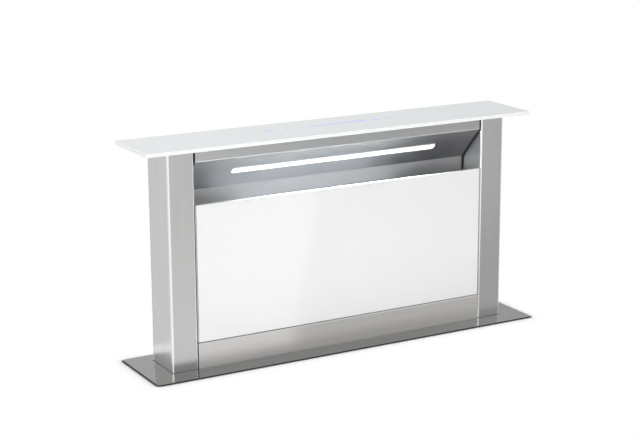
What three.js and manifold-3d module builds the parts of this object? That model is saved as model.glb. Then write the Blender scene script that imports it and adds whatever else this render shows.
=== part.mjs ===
// A downdraft vent for a 60 cm worktop, shown raised.
// Millimetres. X is the width, -Y the cook's side, +Z up. The origin is at the middle of the
// tower opening, on the worktop's face, where the underside of the flange lies.
import * as THREE from 'three';
import { mergeVertices } from 'three/addons/utils/BufferGeometryUtils.js';
import Module from 'manifold-3d';

const wasm = await Module();
wasm.setup();

// ---------------------------------------------------------------- driving dimensions

// worktop flange
const flangeWidth = 598;
const flangeDepth = 120;
const flangeThickness = 1.5;
const flangeCorner = 4;
const flangeGap = 1.5;

// room left round whatever turns, slides or is fitted into something else
const fitGap = 0.4;

// tower, which rises through the flange
const towerWidth = 526;
const towerFront = -28;
const towerDepth = 65;
const towerSheet = 1.2;
const raisedHeight = 300;
const engagedLength = 112;
const landingGap = 0.5;
const postWidth = 37;
const coverReturn = 13;
const coverSeam = 0.5;
const endGap = 0.8;

// glass lid and what is under it
const lidSideOverhang = 36;
const lidDepth = 104;
const lidThickness = 5;
const lidFrontOverhang = 16;
const touchBoardWidth = 250;
const touchBoardDepth = 28;
const touchBoardFront = 2;
const touchBoardThickness = 3;

// fascia, slope and rear wall, one folded sheet
const fasciaHeight = 16.5;
const fasciaSetback = 1;
const linerSheet = 1;
const linerFoldHeight = 236.7;
const linerDepth = 44;

// LED strip in the slope
const ledWidth = 320;
const ledDepth = 12;
const ledFromFold = 24;
const ledProud = 0.6;
const ledThickness = 2.6;
const ledBoardThickness = 1.6;

// glass front panel, its carrier and the kick panel under it
const panelTop = 226;
const panelBottom = 38.3;
const panelGlass = 4;
const carrierSheet = 1.5;
const carrierDepth = 4;
const hingeHeight = 45;
const hingePinRadius = 1.5;
const hingePinReach = 2.6;
const kickGap = 0.7;

// grease filters
const filterHeight = 141;
const filterThickness = 9;
const filterBorder = 11;
const filterFootY = -9;
const ledgeHeight = 56.5;
const ledgeFront = -15.8;
const ledgeDepth = 12.8;
const ledgeLip = 6.5;
const filterGap = 2;

// casing under the worktop
const casingWidth = 556;
const casingDepth = 100;
const plenumHeight = 150;
const casingSheet = 1.2;
const wiperWidth = 9;
const wiperHeight = 8;
const wiperGap = 0.4;

// guide rails and shoes
const railSheet = 1.5;
const railLegLength = 8.3;
const railTop = 12;
const railFootGap = 20;
const shoeWidth = 18.4;
const shoeHeight = 70;
const shoeTop = 40;

// lift drive
const screwRadius = 6;
const screwAboveNut = 8;
const nutRadius = 9;
const nutFlangeRadius = 13;
const nutFlangeThickness = 4;
const nutAboveFoot = 12;
const footThickness = 8;
const bearingRadius = 17;
const bearingHeight = 9;
const trayDepth = 36;
const traySheet = 1.2;
const pulleyRadius = 18;
const pulleyFlangeRadius = 21.5;
const pulleyFlange = 1.2;
const beltWidth = 10;
const beltThickness = 2;
const beltGap = 0.3;
const gearboxWidth = 60;
const gearboxDepth = 56;
const gearboxHeight = 40;
const liftMotorRadius = 22;
const liftMotorLength = 57;
const screwIntoGearbox = 14;

// blower
const blowerAboveFloor = 80;
const blowerWidth = 300;
const blowerHeight = 260;
const blowerDepth = 180;
const blowerSheet = 1.2;
const inletRadius = 75;
const inletThroat = 70;
const inletLength = 22;
const impellerRadius = 85;
const impellerInnerRadius = 73;
const impellerWidth = 109;
const impellerStart = 26;
const impellerPlate = 2;
const bladeCount = 28;
const bladeThickness = 1.4;
const bladeAngle = 35;
const hubRadius = 14;
const hubLength = 17;
const motorShaftRadius = 4;
const fanMotorRadius = 42;
const motorClearance = 7;
const scrollStart = 92;
const scrollEnd = 125;
const scrollTongueAngle = 20;
const scrollSheet = 1.2;

// outlet collar and its flaps
const collarRadius = 74.5;
const collarWall = 1.5;
const collarLength = 55;
const collarFlange = 11;
const collarRise = 47;
const flapPinRadius = 2;
const flapPinFromWall = 12;
const flapThickness = 1.5;
const flapEdgeGap = 1.2;
const flapKnuckle = 1.4;
const flapKnuckleLength = 14;
const knucklePlaces = [-1.2, 2.4];

// control box and mains gland
const controlWidth = 105;
const controlHeight = 150;
const controlDepth = 44;
const controlWall = 2;
const controlCoverThickness = 3;
const controlTop = 85;
const controlFromSide = 8;
const glandRadius = 9;
const glandBore = 3.5;
const glandLength = 16;

// support legs
const legDrop = 140;
const legWidth = 30;
const legSheet = 3;
const legReach = 37;
const legSpacing = 430;
const legOverlap = 110;

// facets of round pieces
const roundSides = 24;
const ductSides = 36;

// ---------------------------------------------------------------- places worked out from them

const towerSide = towerWidth / 2;
const towerRear = towerFront + towerDepth;
const towerTop = raisedHeight - towerSheet;
const postInner = towerSide - postWidth;
const postMiddle = towerSide - postWidth / 2;
const postMiddleY = towerFront + towerDepth / 2;
const postFrontInside = towerFront + towerSheet;
const postRearInside = towerRear - towerSheet;
const footTop = footThickness - engagedLength;
const travel = raisedHeight - flangeThickness - landingGap;
const casingHeight = engagedLength + travel + plenumHeight;
const casingSide = casingWidth / 2;
const casingFront = -casingDepth / 2;
const casingRear = casingDepth / 2;
const casingInnerSide = casingSide - casingSheet;
const floorUnder = -casingHeight - casingSheet;
const trayUnder = floorUnder - trayDepth;
const blowerDrop = casingHeight - blowerAboveFloor;
const legHeight = casingHeight + legDrop;
const screwTop = footTop + nutAboveFoot + screwAboveNut;
const slopeTop = raisedHeight - fasciaHeight;
const slopeFront = towerFront + fasciaSetback;
const linerRear = slopeFront + linerDepth;
const slopeAngle = Math.atan2(slopeTop - linerFoldHeight, linerDepth);
const hingeY = postFrontInside + hingePinRadius + fitGap;

// ---------------------------------------------------------------- finishes

function finish(color, roughness, metalness) {
  return new THREE.MeshStandardMaterial({ color, roughness, metalness });
}

const brushedSteel = finish(0xb9b8b4, 0.38, 1);
const whiteGlass = finish(0xf2f4f5, 0.08, 0);
const opal = finish(0xffffff, 0.5, 0);
const boardGreen = finish(0x2e5a3c, 0.6, 0);
const galvanised = finish(0xa9adb0, 0.45, 1);
const aluminium = finish(0xc2c4c6, 0.35, 1);
const screwSteel = finish(0x8d8f92, 0.3, 1);
const bronze = finish(0xa98445, 0.4, 1);
const nylon = finish(0xe4e2da, 0.55, 0);
const blackPlastic = finish(0x26272a, 0.5, 0);
const greyPlastic = finish(0x5a5d60, 0.55, 0);
const rubber = finish(0x1b1b1c, 0.8, 0);

// ---------------------------------------------------------------- shaping helpers

function toSolid(geometry) {
  const bare = geometry.clone();
  bare.deleteAttribute('normal');
  bare.deleteAttribute('uv');
  const merged = mergeVertices(bare, 1e-4);
  const vertProperties = new Float32Array(merged.attributes.position.array);
  const triVerts = new Uint32Array(merged.index.array);
  return new wasm.Manifold(new wasm.Mesh({ numProp: 3, vertProperties, triVerts }));
}

function toGeometry(solid) {
  const mesh = solid.getMesh();
  const geometry = new THREE.BufferGeometry();
  geometry.setAttribute('position', new THREE.BufferAttribute(mesh.vertProperties, 3));
  geometry.setIndex(new THREE.BufferAttribute(mesh.triVerts, 1));
  return geometry;
}

function named(name, shape, material) {
  const geometry = shape.isBufferGeometry ? shape : toGeometry(shape);
  const mesh = new THREE.Mesh(geometry, material);
  mesh.name = name;
  return mesh;
}

// a rectangular block between two corners
function block(x0, x1, y0, y1, z0, z1) {
  const geometry = new THREE.BoxGeometry(x1 - x0, y1 - y0, z1 - z0);
  return geometry.translate((x0 + x1) / 2, (y0 + y1) / 2, (z0 + z1) / 2);
}

// an outline of [u, v] points pushed from one place to another along X, Y or Z
function pushed(outline, axis, from, to) {
  const corners = Array.isArray(outline) ? outline.map(([u, v]) => new THREE.Vector2(u, v)) : null;
  const shape = corners ? new THREE.Shape(corners) : outline;
  const options = { depth: to - from, bevelEnabled: false, curveSegments: 6 };
  const geometry = new THREE.ExtrudeGeometry(shape, options);
  const turn = new THREE.Matrix4();
  if (axis === 'x') {
    turn.set(0, 0, 1, from, 1, 0, 0, 0, 0, 1, 0, 0, 0, 0, 0, 1);
  } else if (axis === 'y') {
    turn.set(1, 0, 0, 0, 0, 0, -1, to, 0, 1, 0, 0, 0, 0, 0, 1);
  } else {
    turn.makeTranslation(0, 0, from);
  }
  return geometry.applyMatrix4(turn);
}

// the closed outline of a bent sheet: the path and its copy offset to the left of its run
function sheetOutline(path, thickness) {
  const normals = path.slice(1).map(([u, v], i) => {
    const du = u - path[i][0];
    const dv = v - path[i][1];
    const length = Math.hypot(du, dv);
    return [-dv / length, du / length];
  });
  const offset = path.map(([u, v], i) => {
    const before = normals[Math.max(i - 1, 0)];
    const after = normals[Math.min(i, normals.length - 1)];
    const reach = thickness / (1 + before[0] * after[0] + before[1] * after[1]);
    return [u + (before[0] + after[0]) * reach, v + (before[1] + after[1]) * reach];
  });
  return [...path, ...offset.reverse()];
}

// a disc or cylinder along Z
function rod(radius, x, y, z0, z1, sides = roundSides) {
  const geometry = new THREE.CylinderGeometry(radius, radius, z1 - z0, sides);
  return geometry.rotateX(Math.PI / 2).translate(x, y, (z0 + z1) / 2);
}

// a cylinder along X
function rodAlongX(radius, y, z, x0, x1, sides = roundSides) {
  const geometry = new THREE.CylinderGeometry(radius, radius, x1 - x0, sides);
  return geometry.rotateZ(Math.PI / 2).translate((x0 + x1) / 2, y, z);
}

// a cylinder along Y
function rodAlongY(radius, x, z, y0, y1, sides = roundSides) {
  return new THREE.CylinderGeometry(radius, radius, y1 - y0, sides).translate(x, (y0 + y1) / 2, z);
}

function joined(...shapes) {
  return shapes.map(toSolid).reduce((whole, next) => whole.add(next));
}

function cut(base, ...tools) {
  const start = base.isBufferGeometry ? toSolid(base) : base;
  return tools.map(toSolid).reduce((whole, tool) => whole.subtract(tool), start);
}

// the polygon round a cylinder of this radius, so that its flats clear the cylinder
const clearBore = (radius, sides = roundSides) => (radius + fitGap) / Math.cos(Math.PI / sides);

const sideName = (side) => (side < 0 ? 'left' : 'right');
const sides = [-1, 1];

// ---------------------------------------------------------------- worktop flange and casing

function worktopFlange() {
  const halfWidth = flangeWidth / 2;
  const halfDepth = flangeDepth / 2;
  const shape = new THREE.Shape();
  shape.moveTo(flangeCorner - halfWidth, -halfDepth);
  shape.lineTo(halfWidth - flangeCorner, -halfDepth);
  shape.absarc(halfWidth - flangeCorner, flangeCorner - halfDepth, flangeCorner, -Math.PI / 2, 0);
  shape.absarc(halfWidth - flangeCorner, halfDepth - flangeCorner, flangeCorner, 0, Math.PI / 2);
  shape.absarc(flangeCorner - halfWidth, halfDepth - flangeCorner, flangeCorner, Math.PI / 2, Math.PI);
  shape.absarc(flangeCorner - halfWidth, flangeCorner - halfDepth, flangeCorner, Math.PI, Math.PI * 1.5);
  const plate = pushed(shape, 'z', 0, flangeThickness);
  const reach = flangeThickness;
  const opening = block(
    -towerSide - flangeGap, towerSide + flangeGap,
    towerFront - flangeGap, towerRear + flangeGap,
    -reach, flangeThickness + reach,
  );
  return named('worktop_flange', cut(plate, opening), brushedSteel);
}

function towerWiper() {
  const outer = block(
    -towerSide - wiperWidth, towerSide + wiperWidth,
    towerFront - wiperWidth, towerRear + wiperWidth,
    -wiperHeight, 0,
  );
  const inner = block(
    -towerSide - wiperGap, towerSide + wiperGap,
    towerFront - wiperGap, towerRear + wiperGap,
    -2 * wiperHeight, wiperHeight,
  );
  return named('tower_wiper', cut(outer, inner), rubber);
}

function casingWalls() {
  const front = block(-casingSide, casingSide, casingFront, casingFront + casingSheet, -casingHeight, 0);
  const inlet = rodAlongY(inletRadius, 0, -blowerDrop, casingFront - 5, casingFront + 5, ductSides);
  const rear = block(-casingSide, casingSide, casingRear - casingSheet, casingRear, -casingHeight, 0);
  const walls = [
    named('casing_front', cut(front, inlet), galvanised),
    named('casing_rear', rear, galvanised),
  ];
  for (const side of sides) {
    const outer = side * casingSide;
    const inner = side * casingInnerSide;
    const wall = block(
      Math.min(outer, inner), Math.max(outer, inner),
      casingFront + casingSheet, casingRear - casingSheet,
      -casingHeight, 0,
    );
    walls.push(named(`casing_${sideName(side)}`, wall, galvanised));
  }
  return walls;
}

function casingFloor() {
  const plate = block(-casingSide, casingSide, casingFront, casingRear, floorUnder, -casingHeight);
  const holes = sides.map((side) => rod(
    clearBore(screwRadius), side * postMiddle, postMiddleY, floorUnder - 1, 1 - casingHeight,
  ));
  return named('casing_floor', cut(plate, ...holes), galvanised);
}

// a C channel at each side wall, open towards the tower
function guideRail(side) {
  const web = side * casingInnerSide;
  const lip = side * (casingInnerSide - railSheet - railLegLength);
  const reach = shoeWidth / 2 + railSheet + fitGap;
  const path = [
    [lip, postMiddleY + reach],
    [web, postMiddleY + reach],
    [web, postMiddleY - reach],
    [lip, postMiddleY - reach],
  ];
  const outline = sheetOutline(path, -side * railSheet);
  const channel = pushed(outline, 'z', railFootGap - casingHeight, -railTop);
  return named(`guide_rail_${sideName(side)}`, channel, aluminium);
}

// ---------------------------------------------------------------- lift drive

function screwBearing(side) {
  const x = side * postMiddle;
  const top = bearingHeight - casingHeight;
  const housing = rod(bearingRadius, x, postMiddleY, -casingHeight, top);
  const bore = rod(clearBore(screwRadius), x, postMiddleY, -casingHeight - 1, top + 1);
  return named(`screw_bearing_${sideName(side)}`, cut(housing, bore), galvanised);
}

function driveTray() {
  const lip = casingFront;
  const path = [
    [-lip, floorUnder],
    [-lip, trayUnder],
    [lip, trayUnder],
    [lip, floorUnder],
  ];
  const tray = pushed(sheetOutline(path, -traySheet), 'x', -casingSide, casingSide);
  const x = -postMiddle;
  const hole = rod(clearBore(screwRadius), x, postMiddleY, trayUnder - 1, trayUnder + traySheet + 1);
  return named('drive_tray', cut(tray, hole), galvanised);
}

const beltMiddle = (floorUnder + trayUnder + traySheet) / 2;
const pulleyHalf = beltWidth / 2 + beltGap;

function liftScrew(side) {
  const foot = side < 0 ? trayUnder - screwIntoGearbox : beltMiddle - pulleyHalf - 2 * pulleyFlange;
  const screw = rod(screwRadius, side * postMiddle, postMiddleY, foot, screwTop);
  return named(`lift_screw_${sideName(side)}`, screw, screwSteel);
}

// the belt pulley, pressed on the screw
function liftPulley(side) {
  const x = side * postMiddle;
  const top = beltMiddle + pulleyHalf;
  const bottom = beltMiddle - pulleyHalf;
  const body = joined(
    rod(pulleyRadius, x, postMiddleY, bottom - pulleyFlange / 2, top + pulleyFlange / 2),
    rod(pulleyFlangeRadius, x, postMiddleY, top, top + pulleyFlange),
    rod(pulleyFlangeRadius, x, postMiddleY, bottom - pulleyFlange, bottom),
  );
  const bore = rod(clearBore(screwRadius), x, postMiddleY, bottom - 5, top + 5);
  return named(`lift_pulley_${sideName(side)}`, cut(body, bore), aluminium);
}

function driveBelt() {
  const inner = pulleyRadius + beltGap;
  const loop = (radius) => {
    const shape = new THREE.Path();
    shape.absarc(postMiddle, postMiddleY, radius, -Math.PI / 2, Math.PI / 2);
    shape.absarc(-postMiddle, postMiddleY, radius, Math.PI / 2, Math.PI * 1.5);
    return shape.getPoints(12).slice(0, -1);
  };
  const shape = new THREE.Shape(loop(inner + beltThickness));
  shape.holes.push(new THREE.Path(loop(inner)));
  const belt = pushed(shape, 'z', beltMiddle - beltWidth / 2, beltMiddle + beltWidth / 2);
  return named('drive_belt', belt, rubber);
}

function liftGearbox() {
  const bottom = trayUnder - gearboxHeight;
  const housing = block(
    -postMiddle - gearboxWidth / 2, gearboxWidth / 2 - postMiddle,
    postMiddleY - gearboxDepth / 2, postMiddleY + gearboxDepth / 2,
    bottom, trayUnder,
  );
  const boreFoot = trayUnder - screwIntoGearbox - fitGap;
  const bore = rod(clearBore(screwRadius), -postMiddle, postMiddleY, boreFoot, trayUnder + 1);
  return named('lift_gearbox', cut(housing, bore), greyPlastic);
}

function liftMotor() {
  const top = trayUnder - gearboxHeight;
  const can = rod(liftMotorRadius, -postMiddle, postMiddleY, top - liftMotorLength, top);
  return named('lift_motor', can, screwSteel);
}

// ---------------------------------------------------------------- tower

// a C channel, open towards the outside, where the side cover closes it
function post(side) {
  const inner = side * postInner;
  const outer = side * towerSide;
  const path = [
    [outer, towerRear],
    [inner, towerRear],
    [inner, towerFront],
    [outer, towerFront],
  ];
  const channel = pushed(sheetOutline(path, side * towerSheet), 'z', -engagedLength, towerTop);
  const through = towerSheet + 1;
  const middle = side * (postInner + towerSheet / 2);
  const pinHole = rodAlongX(
    clearBore(hingePinRadius, 12), hingeY, hingeHeight, middle - through, middle + through, 12,
  );
  return named(`${sideName(side)}_post`, cut(channel, pinHole), brushedSteel);
}

function sideCover(side) {
  const outer = side * towerSide;
  const lip = side * (towerSide - coverReturn);
  const front = postFrontInside + coverSeam;
  const rear = postRearInside - coverSeam;
  const path = [
    [lip, front],
    [outer, front],
    [outer, rear],
    [lip, rear],
  ];
  const cover = pushed(sheetOutline(path, side * towerSheet), 'z', footTop, towerTop);
  return named(`${sideName(side)}_side_cover`, cover, brushedSteel);
}

function postFoot(side) {
  const inner = side * (postInner + towerSheet);
  const outer = side * towerSide;
  const foot = block(
    Math.min(inner, outer), Math.max(inner, outer),
    postFrontInside, postRearInside,
    -engagedLength, footTop,
  );
  const seat = rod(clearBore(nutRadius), side * postMiddle, postMiddleY, -engagedLength - 1, footTop + 1);
  return named(`post_foot_${sideName(side)}`, cut(foot, seat), galvanised);
}

function liftNut(side) {
  const x = side * postMiddle;
  const top = footTop + nutAboveFoot;
  const bottom = -engagedLength - nutFlangeThickness;
  const nut = joined(
    rod(nutRadius, x, postMiddleY, bottom, top),
    rod(nutFlangeRadius, x, postMiddleY, bottom, -engagedLength),
  );
  const bore = rod(clearBore(screwRadius), x, postMiddleY, bottom - 1, top + 1);
  return named(`lift_nut_${sideName(side)}`, cut(nut, bore), bronze);
}

function guideShoe(side) {
  const inner = side * towerSide;
  const outer = side * (casingInnerSide - railSheet - fitGap);
  const shoe = block(
    Math.min(inner, outer), Math.max(inner, outer),
    postMiddleY - shoeWidth / 2, postMiddleY + shoeWidth / 2,
    -shoeTop - shoeHeight, -shoeTop,
  );
  return named(`guide_shoe_${sideName(side)}`, shoe, nylon);
}

function towerRearPanel() {
  const half = postInner - endGap / 2;
  const panel = block(-half, half, postRearInside, towerRear, -engagedLength, towerTop);
  return named('rear_panel', panel, brushedSteel);
}

function crossBar() {
  const front = linerRear + linerSheet + fitGap;
  const bar = block(-postInner, postInner, front, postRearInside, -engagedLength, footTop + footThickness);
  return named('cross_bar', bar, galvanised);
}

function kickPanel() {
  const half = postInner - endGap;
  const top = panelBottom - kickGap;
  const panel = block(-half, half, towerFront, towerFront + towerSheet, -engagedLength, top);
  return named('kick_panel', panel, brushedSteel);
}

function topPlate() {
  const plate = block(-towerSide, towerSide, towerFront, towerRear, towerTop, raisedHeight);
  const halfSlot = touchBoardWidth / 2 + 1;
  const slot = block(
    -halfSlot, halfSlot,
    touchBoardFront - 1, touchBoardFront + touchBoardDepth + 1,
    towerTop - 1, raisedHeight + 1,
  );
  return named('top_plate', cut(plate, slot), galvanised);
}

function touchBoard() {
  const top = raisedHeight - fitGap;
  const board = block(
    -touchBoardWidth / 2, touchBoardWidth / 2,
    touchBoardFront, touchBoardFront + touchBoardDepth,
    top - touchBoardThickness, top,
  );
  return named('touch_board', board, boardGreen);
}

function lidGlass() {
  const front = towerFront - lidFrontOverhang;
  const half = towerSide + lidSideOverhang;
  const lid = block(
    -half, half,
    front, front + lidDepth,
    raisedHeight, raisedHeight + lidThickness,
  );
  return named('lid_glass', lid, whiteGlass);
}

// places a shape made in the slope's own frame: Y runs down the slope, Z points behind it
function ontoSlope(geometry) {
  const turn = new THREE.Matrix4().makeRotationX(-slopeAngle);
  return geometry.applyMatrix4(turn).translate(0, slopeFront, slopeTop);
}

function intakeLiner() {
  const half = postInner - endGap / 2;
  const path = [
    [slopeFront, towerTop],
    [slopeFront, slopeTop],
    [linerRear, linerFoldHeight],
    [linerRear, footTop + footThickness],
  ];
  const folded = pushed(sheetOutline(path, linerSheet), 'x', -half, half);
  const ledSlot = ontoSlope(block(
    -ledWidth / 2 - fitGap, ledWidth / 2 + fitGap,
    ledFromFold - fitGap, ledFromFold + ledDepth + fitGap,
    -1, linerSheet + 1,
  ));
  return named('intake_liner', cut(folded, ledSlot), brushedSteel);
}

function ledParts() {
  const slope = new THREE.Group();
  slope.position.set(0, slopeFront, slopeTop);
  slope.rotation.x = -slopeAngle;
  const behind = ledThickness - ledProud;
  const diffuser = block(
    -ledWidth / 2, ledWidth / 2,
    ledFromFold, ledFromFold + ledDepth,
    -ledProud, behind,
  );
  const board = block(
    -ledWidth / 2, ledWidth / 2,
    ledFromFold, ledFromFold + ledDepth,
    behind + fitGap, behind + fitGap + ledBoardThickness,
  );
  slope.add(named('led_diffuser', diffuser, opal));
  slope.add(named('led_board', board, boardGreen));
  return slope;
}

// ---------------------------------------------------------------- grease filters

const ledgeTop = ledgeHeight + towerSheet;
const filterTilt = Math.asin((linerRear - fitGap - filterFootY - filterThickness / 2) / filterHeight);

function filterLedge() {
  const path = [
    [ledgeFront + ledgeDepth, ledgeHeight],
    [ledgeFront, ledgeHeight],
    [ledgeFront, ledgeHeight + ledgeLip],
  ];
  const ledge = pushed(sheetOutline(path, -towerSheet), 'x', -postInner, postInner);
  return named('filter_ledge', ledge, brushedSteel);
}

// the two filters stand on the ledge and lean back on the liner
function greaseFilters() {
  const bank = new THREE.Group();
  const foot = ledgeTop + fitGap + Math.sin(filterTilt) * filterThickness / 2;
  bank.position.set(0, filterFootY, foot);
  bank.rotation.x = -filterTilt;
  const nearEnd = filterGap / 2;
  const farEnd = postInner - filterGap;
  const half = filterThickness / 2;
  for (const side of sides) {
    const x0 = side < 0 ? -farEnd : nearEnd;
    const x1 = side < 0 ? -nearEnd : farEnd;
    const outer = block(x0, x1, -half, half, 0, filterHeight);
    const window = block(
      x0 + filterBorder, x1 - filterBorder, -2 * half, 2 * half, filterBorder, filterHeight - filterBorder,
    );
    const clear = filterBorder + fitGap;
    const mesh = block(x0 + clear, x1 - clear, 1 - half, half - 1, clear, filterHeight - clear);
    bank.add(named(`filter_frame_${sideName(side)}`, cut(outer, window), aluminium));
    bank.add(named(`filter_mesh_${sideName(side)}`, mesh, aluminium));
  }
  return bank;
}

// ---------------------------------------------------------------- glass front panel

const panelSide = postInner - endGap / 2;

function glassPanel() {
  const half = panelSide - carrierSheet;
  const glass = block(-half, half, towerFront, towerFront + panelGlass, panelBottom, panelTop);
  return named('glass_panel', glass, whiteGlass);
}

// a tray behind the glass: its ears cover the glass's ends, its returns stiffen it, and a hinge
// pin stands out from each end
function panelCarrier() {
  const glassBack = towerFront + panelGlass;
  const trayBack = glassBack + carrierSheet;
  const rear = glassBack + carrierDepth;
  const ear = panelSide - carrierSheet + fitGap;
  const inner = panelSide - carrierSheet;
  const section = [
    [-panelSide, towerFront], [-ear, towerFront], [-ear, glassBack],
    [ear, glassBack], [ear, towerFront], [panelSide, towerFront],
    [panelSide, rear], [inner, rear], [inner, trayBack],
    [-inner, trayBack], [-inner, rear], [-panelSide, rear],
  ];
  const tray = pushed(section, 'z', panelBottom + endGap, panelTop - endGap);
  const pins = sides.map((side) => {
    const root = side * (panelSide - carrierSheet / 2);
    const tip = side * (panelSide + hingePinReach);
    return rodAlongX(hingePinRadius, hingeY, hingeHeight, Math.min(root, tip), Math.max(root, tip), 12);
  });
  return named('panel_carrier', joined(tray, ...pins), galvanised);
}

// ---------------------------------------------------------------- blower, in its own frame

function blowerHousing() {
  const half = blowerWidth / 2;
  const rise = blowerHeight / 2;
  const coverFace = blowerSheet - blowerDepth;
  const shell = block(-half, half, coverFace, 0, -rise, rise);
  const hollow = block(
    blowerSheet - half, half - blowerSheet,
    coverFace - 1, -blowerSheet,
    blowerSheet - rise, rise - blowerSheet,
  );
  const inlet = rodAlongY(inletRadius, 0, 0, -5, 5, ductSides);
  const outlet = rodAlongX(
    collarRadius - collarWall, -blowerDepth / 2, collarRise, half - 5, half + 5, ductSides,
  );
  return named('blower_housing', cut(shell, hollow, inlet, outlet), galvanised);
}

function blowerCover() {
  const half = blowerWidth / 2;
  const rise = blowerHeight / 2;
  const plate = block(-half, half, -blowerDepth, blowerSheet - blowerDepth, -rise, rise);
  return named('blower_cover', plate, galvanised);
}

// a ring turned about Y from [radius, y] points
function turned(points, segments) {
  const outline = [...points, points[0]].map(([radius, y]) => new THREE.Vector2(radius, y));
  return new THREE.LatheGeometry(outline, segments);
}

function inletRing() {
  const wall = 1.2;
  const mouth = -blowerSheet;
  const ring = turned([
    [inletThroat, -inletLength],
    [inletThroat + wall, -inletLength],
    [inletThroat + wall + 2, mouth - 8],
    [inletRadius + 8, mouth - wall],
    [inletRadius + 8, mouth],
    [inletRadius, mouth],
    [inletThroat, mouth - 8],
  ], ductSides);
  return named('inlet_ring', toSolid(ring), blackPlastic);
}

// the sheet spirals out from the tongue round the impeller, then runs straight to the outlet
function scrollWall() {
  const end = blowerWidth / 2 - blowerSheet - fitGap;
  const steps = 20;
  const start = -scrollTongueAngle * Math.PI / 180;
  const sweep = -1.5 * Math.PI - start;
  const spiral = Array.from({ length: steps + 1 }, (_, i) => {
    const angle = start + sweep * i / steps;
    const radius = scrollStart + (scrollEnd - scrollStart) * i / steps;
    return [radius * Math.cos(angle), radius * Math.sin(angle)];
  });
  const path = [[end, spiral[0][1]], ...spiral, [end, scrollEnd]];
  const front = blowerSheet - blowerDepth + fitGap;
  const wall = pushed(sheetOutline(path, scrollSheet), 'y', front, -blowerSheet - fitGap);
  return named('scroll_wall', wall, galvanised);
}

function impeller() {
  const back = -impellerStart - impellerWidth;
  const bore = (motorShaftRadius + fitGap) / Math.cos(Math.PI / roundSides);
  const disc = turned([
    [bore, back],
    [impellerRadius, back],
    [impellerRadius, back + impellerPlate],
    [hubRadius, back + impellerPlate],
    [hubRadius, back + hubLength],
    [bore, back + hubLength],
  ], ductSides);
  const ring = turned([
    [impellerInnerRadius, -impellerStart - impellerPlate],
    [impellerRadius, -impellerStart - impellerPlate],
    [impellerRadius, -impellerStart],
    [impellerInnerRadius, -impellerStart],
  ], ductSides);
  let wheel = toSolid(disc).add(toSolid(ring));
  const bladeLength = impellerRadius - impellerInnerRadius;
  const middle = (impellerRadius + impellerInnerRadius) / 2;
  for (let i = 0; i < bladeCount; i += 1) {
    const blade = block(
      -bladeLength / 2, bladeLength / 2,
      back + impellerPlate / 2, -impellerStart - impellerPlate / 2,
      -bladeThickness / 2, bladeThickness / 2,
    );
    blade.rotateY(bladeAngle * Math.PI / 180).translate(middle, 0, 0);
    blade.rotateY(2 * Math.PI * i / bladeCount);
    wheel = wheel.add(toSolid(blade));
  }
  return named('impeller', wheel, blackPlastic);
}

function fanMotor() {
  const back = blowerSheet - blowerDepth;
  const discBack = -impellerStart - impellerWidth;
  const motor = joined(
    rodAlongY(fanMotorRadius, 0, 0, back, discBack - motorClearance, ductSides),
    rodAlongY(motorShaftRadius, 0, 0, back + 1, discBack + hubLength + 2),
  );
  return named('fan_motor', motor, screwSteel);
}

// ---------------------------------------------------------------- outlet collar and flaps

const collarInner = collarRadius - collarWall;
const pinX = blowerWidth / 2 + flapPinFromWall;
const collarMiddleY = -blowerDepth / 2;

function outletCollar() {
  const start = blowerWidth / 2;
  const shell = cut(
    joined(
      rodAlongX(collarRadius, collarMiddleY, collarRise, start, start + collarLength, ductSides),
      rodAlongX(collarRadius + collarFlange, collarMiddleY, collarRise, start, start + collarWall, ductSides),
    ),
    rodAlongX(collarInner, collarMiddleY, collarRise, start - 1, start + collarLength + 1, ductSides),
  );
  const reach = collarRadius - collarWall / 2;
  const pin = rod(flapPinRadius, pinX, collarMiddleY, collarRise - reach, collarRise + reach, 12);
  return named('outlet_collar', shell.add(toSolid(pin)), blackPlastic);
}

// half a disc on the fan's side of the pin, with two knuckles round the pin and notches for the
// other flap's knuckles
function outletFlap(side) {
  const knuckleBore = clearBore(flapPinRadius, 12);
  const knuckleOuter = knuckleBore + flapKnuckle;
  const face = pinX - knuckleOuter;
  const radius = collarInner - flapEdgeGap;
  const disc = toSolid(rodAlongX(radius, collarMiddleY, collarRise, face, face + flapThickness, ductSides));
  const nearEdge = collarMiddleY + side * flapEdgeGap / 2;
  const farEdge = collarMiddleY + side * 2 * radius;
  const keep = toSolid(block(
    face - 1, face + flapThickness + 1,
    Math.min(nearEdge, farEdge), Math.max(nearEdge, farEdge),
    collarRise - 2 * radius, collarRise + 2 * radius,
  ));
  const knuckleAt = (place, outer, length) => {
    const z = collarRise + side * place * flapKnuckleLength;
    return toSolid(rod(outer, pinX, collarMiddleY, z - length / 2, z + length / 2, 12));
  };
  let flap = disc.intersect(keep);
  for (const place of knucklePlaces) {
    flap = flap.subtract(knuckleAt(-place, clearBore(knuckleOuter, 12), flapKnuckleLength + 2 * fitGap));
    flap = flap.add(knuckleAt(place, knuckleOuter, flapKnuckleLength));
  }
  flap = flap.subtract(toSolid(rod(
    knuckleBore, pinX, collarMiddleY, collarRise - radius, collarRise + radius, 12,
  )));
  return named(side < 0 ? 'flap_front' : 'flap_rear', flap, aluminium);
}

// ---------------------------------------------------------------- control box, gland and legs

const controlLeft = controlFromSide - casingSide;
const controlRight = controlLeft + controlWidth;
const controlFront = casingFront - controlDepth;

function controlBox() {
  const shell = block(
    controlLeft, controlRight, controlFront, casingFront, -controlTop - controlHeight, -controlTop,
  );
  const hollow = block(
    controlLeft + controlWall, controlRight - controlWall,
    controlFront - 1, casingFront - controlWall,
    controlWall - controlTop - controlHeight, -controlTop - controlWall,
  );
  return named('control_box', cut(shell, hollow), greyPlastic);
}

function controlCover() {
  const cover = block(
    controlLeft, controlRight,
    controlFront - controlCoverThickness, controlFront,
    -controlTop - controlHeight, -controlTop,
  );
  return named('control_cover', cover, greyPlastic);
}

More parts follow.
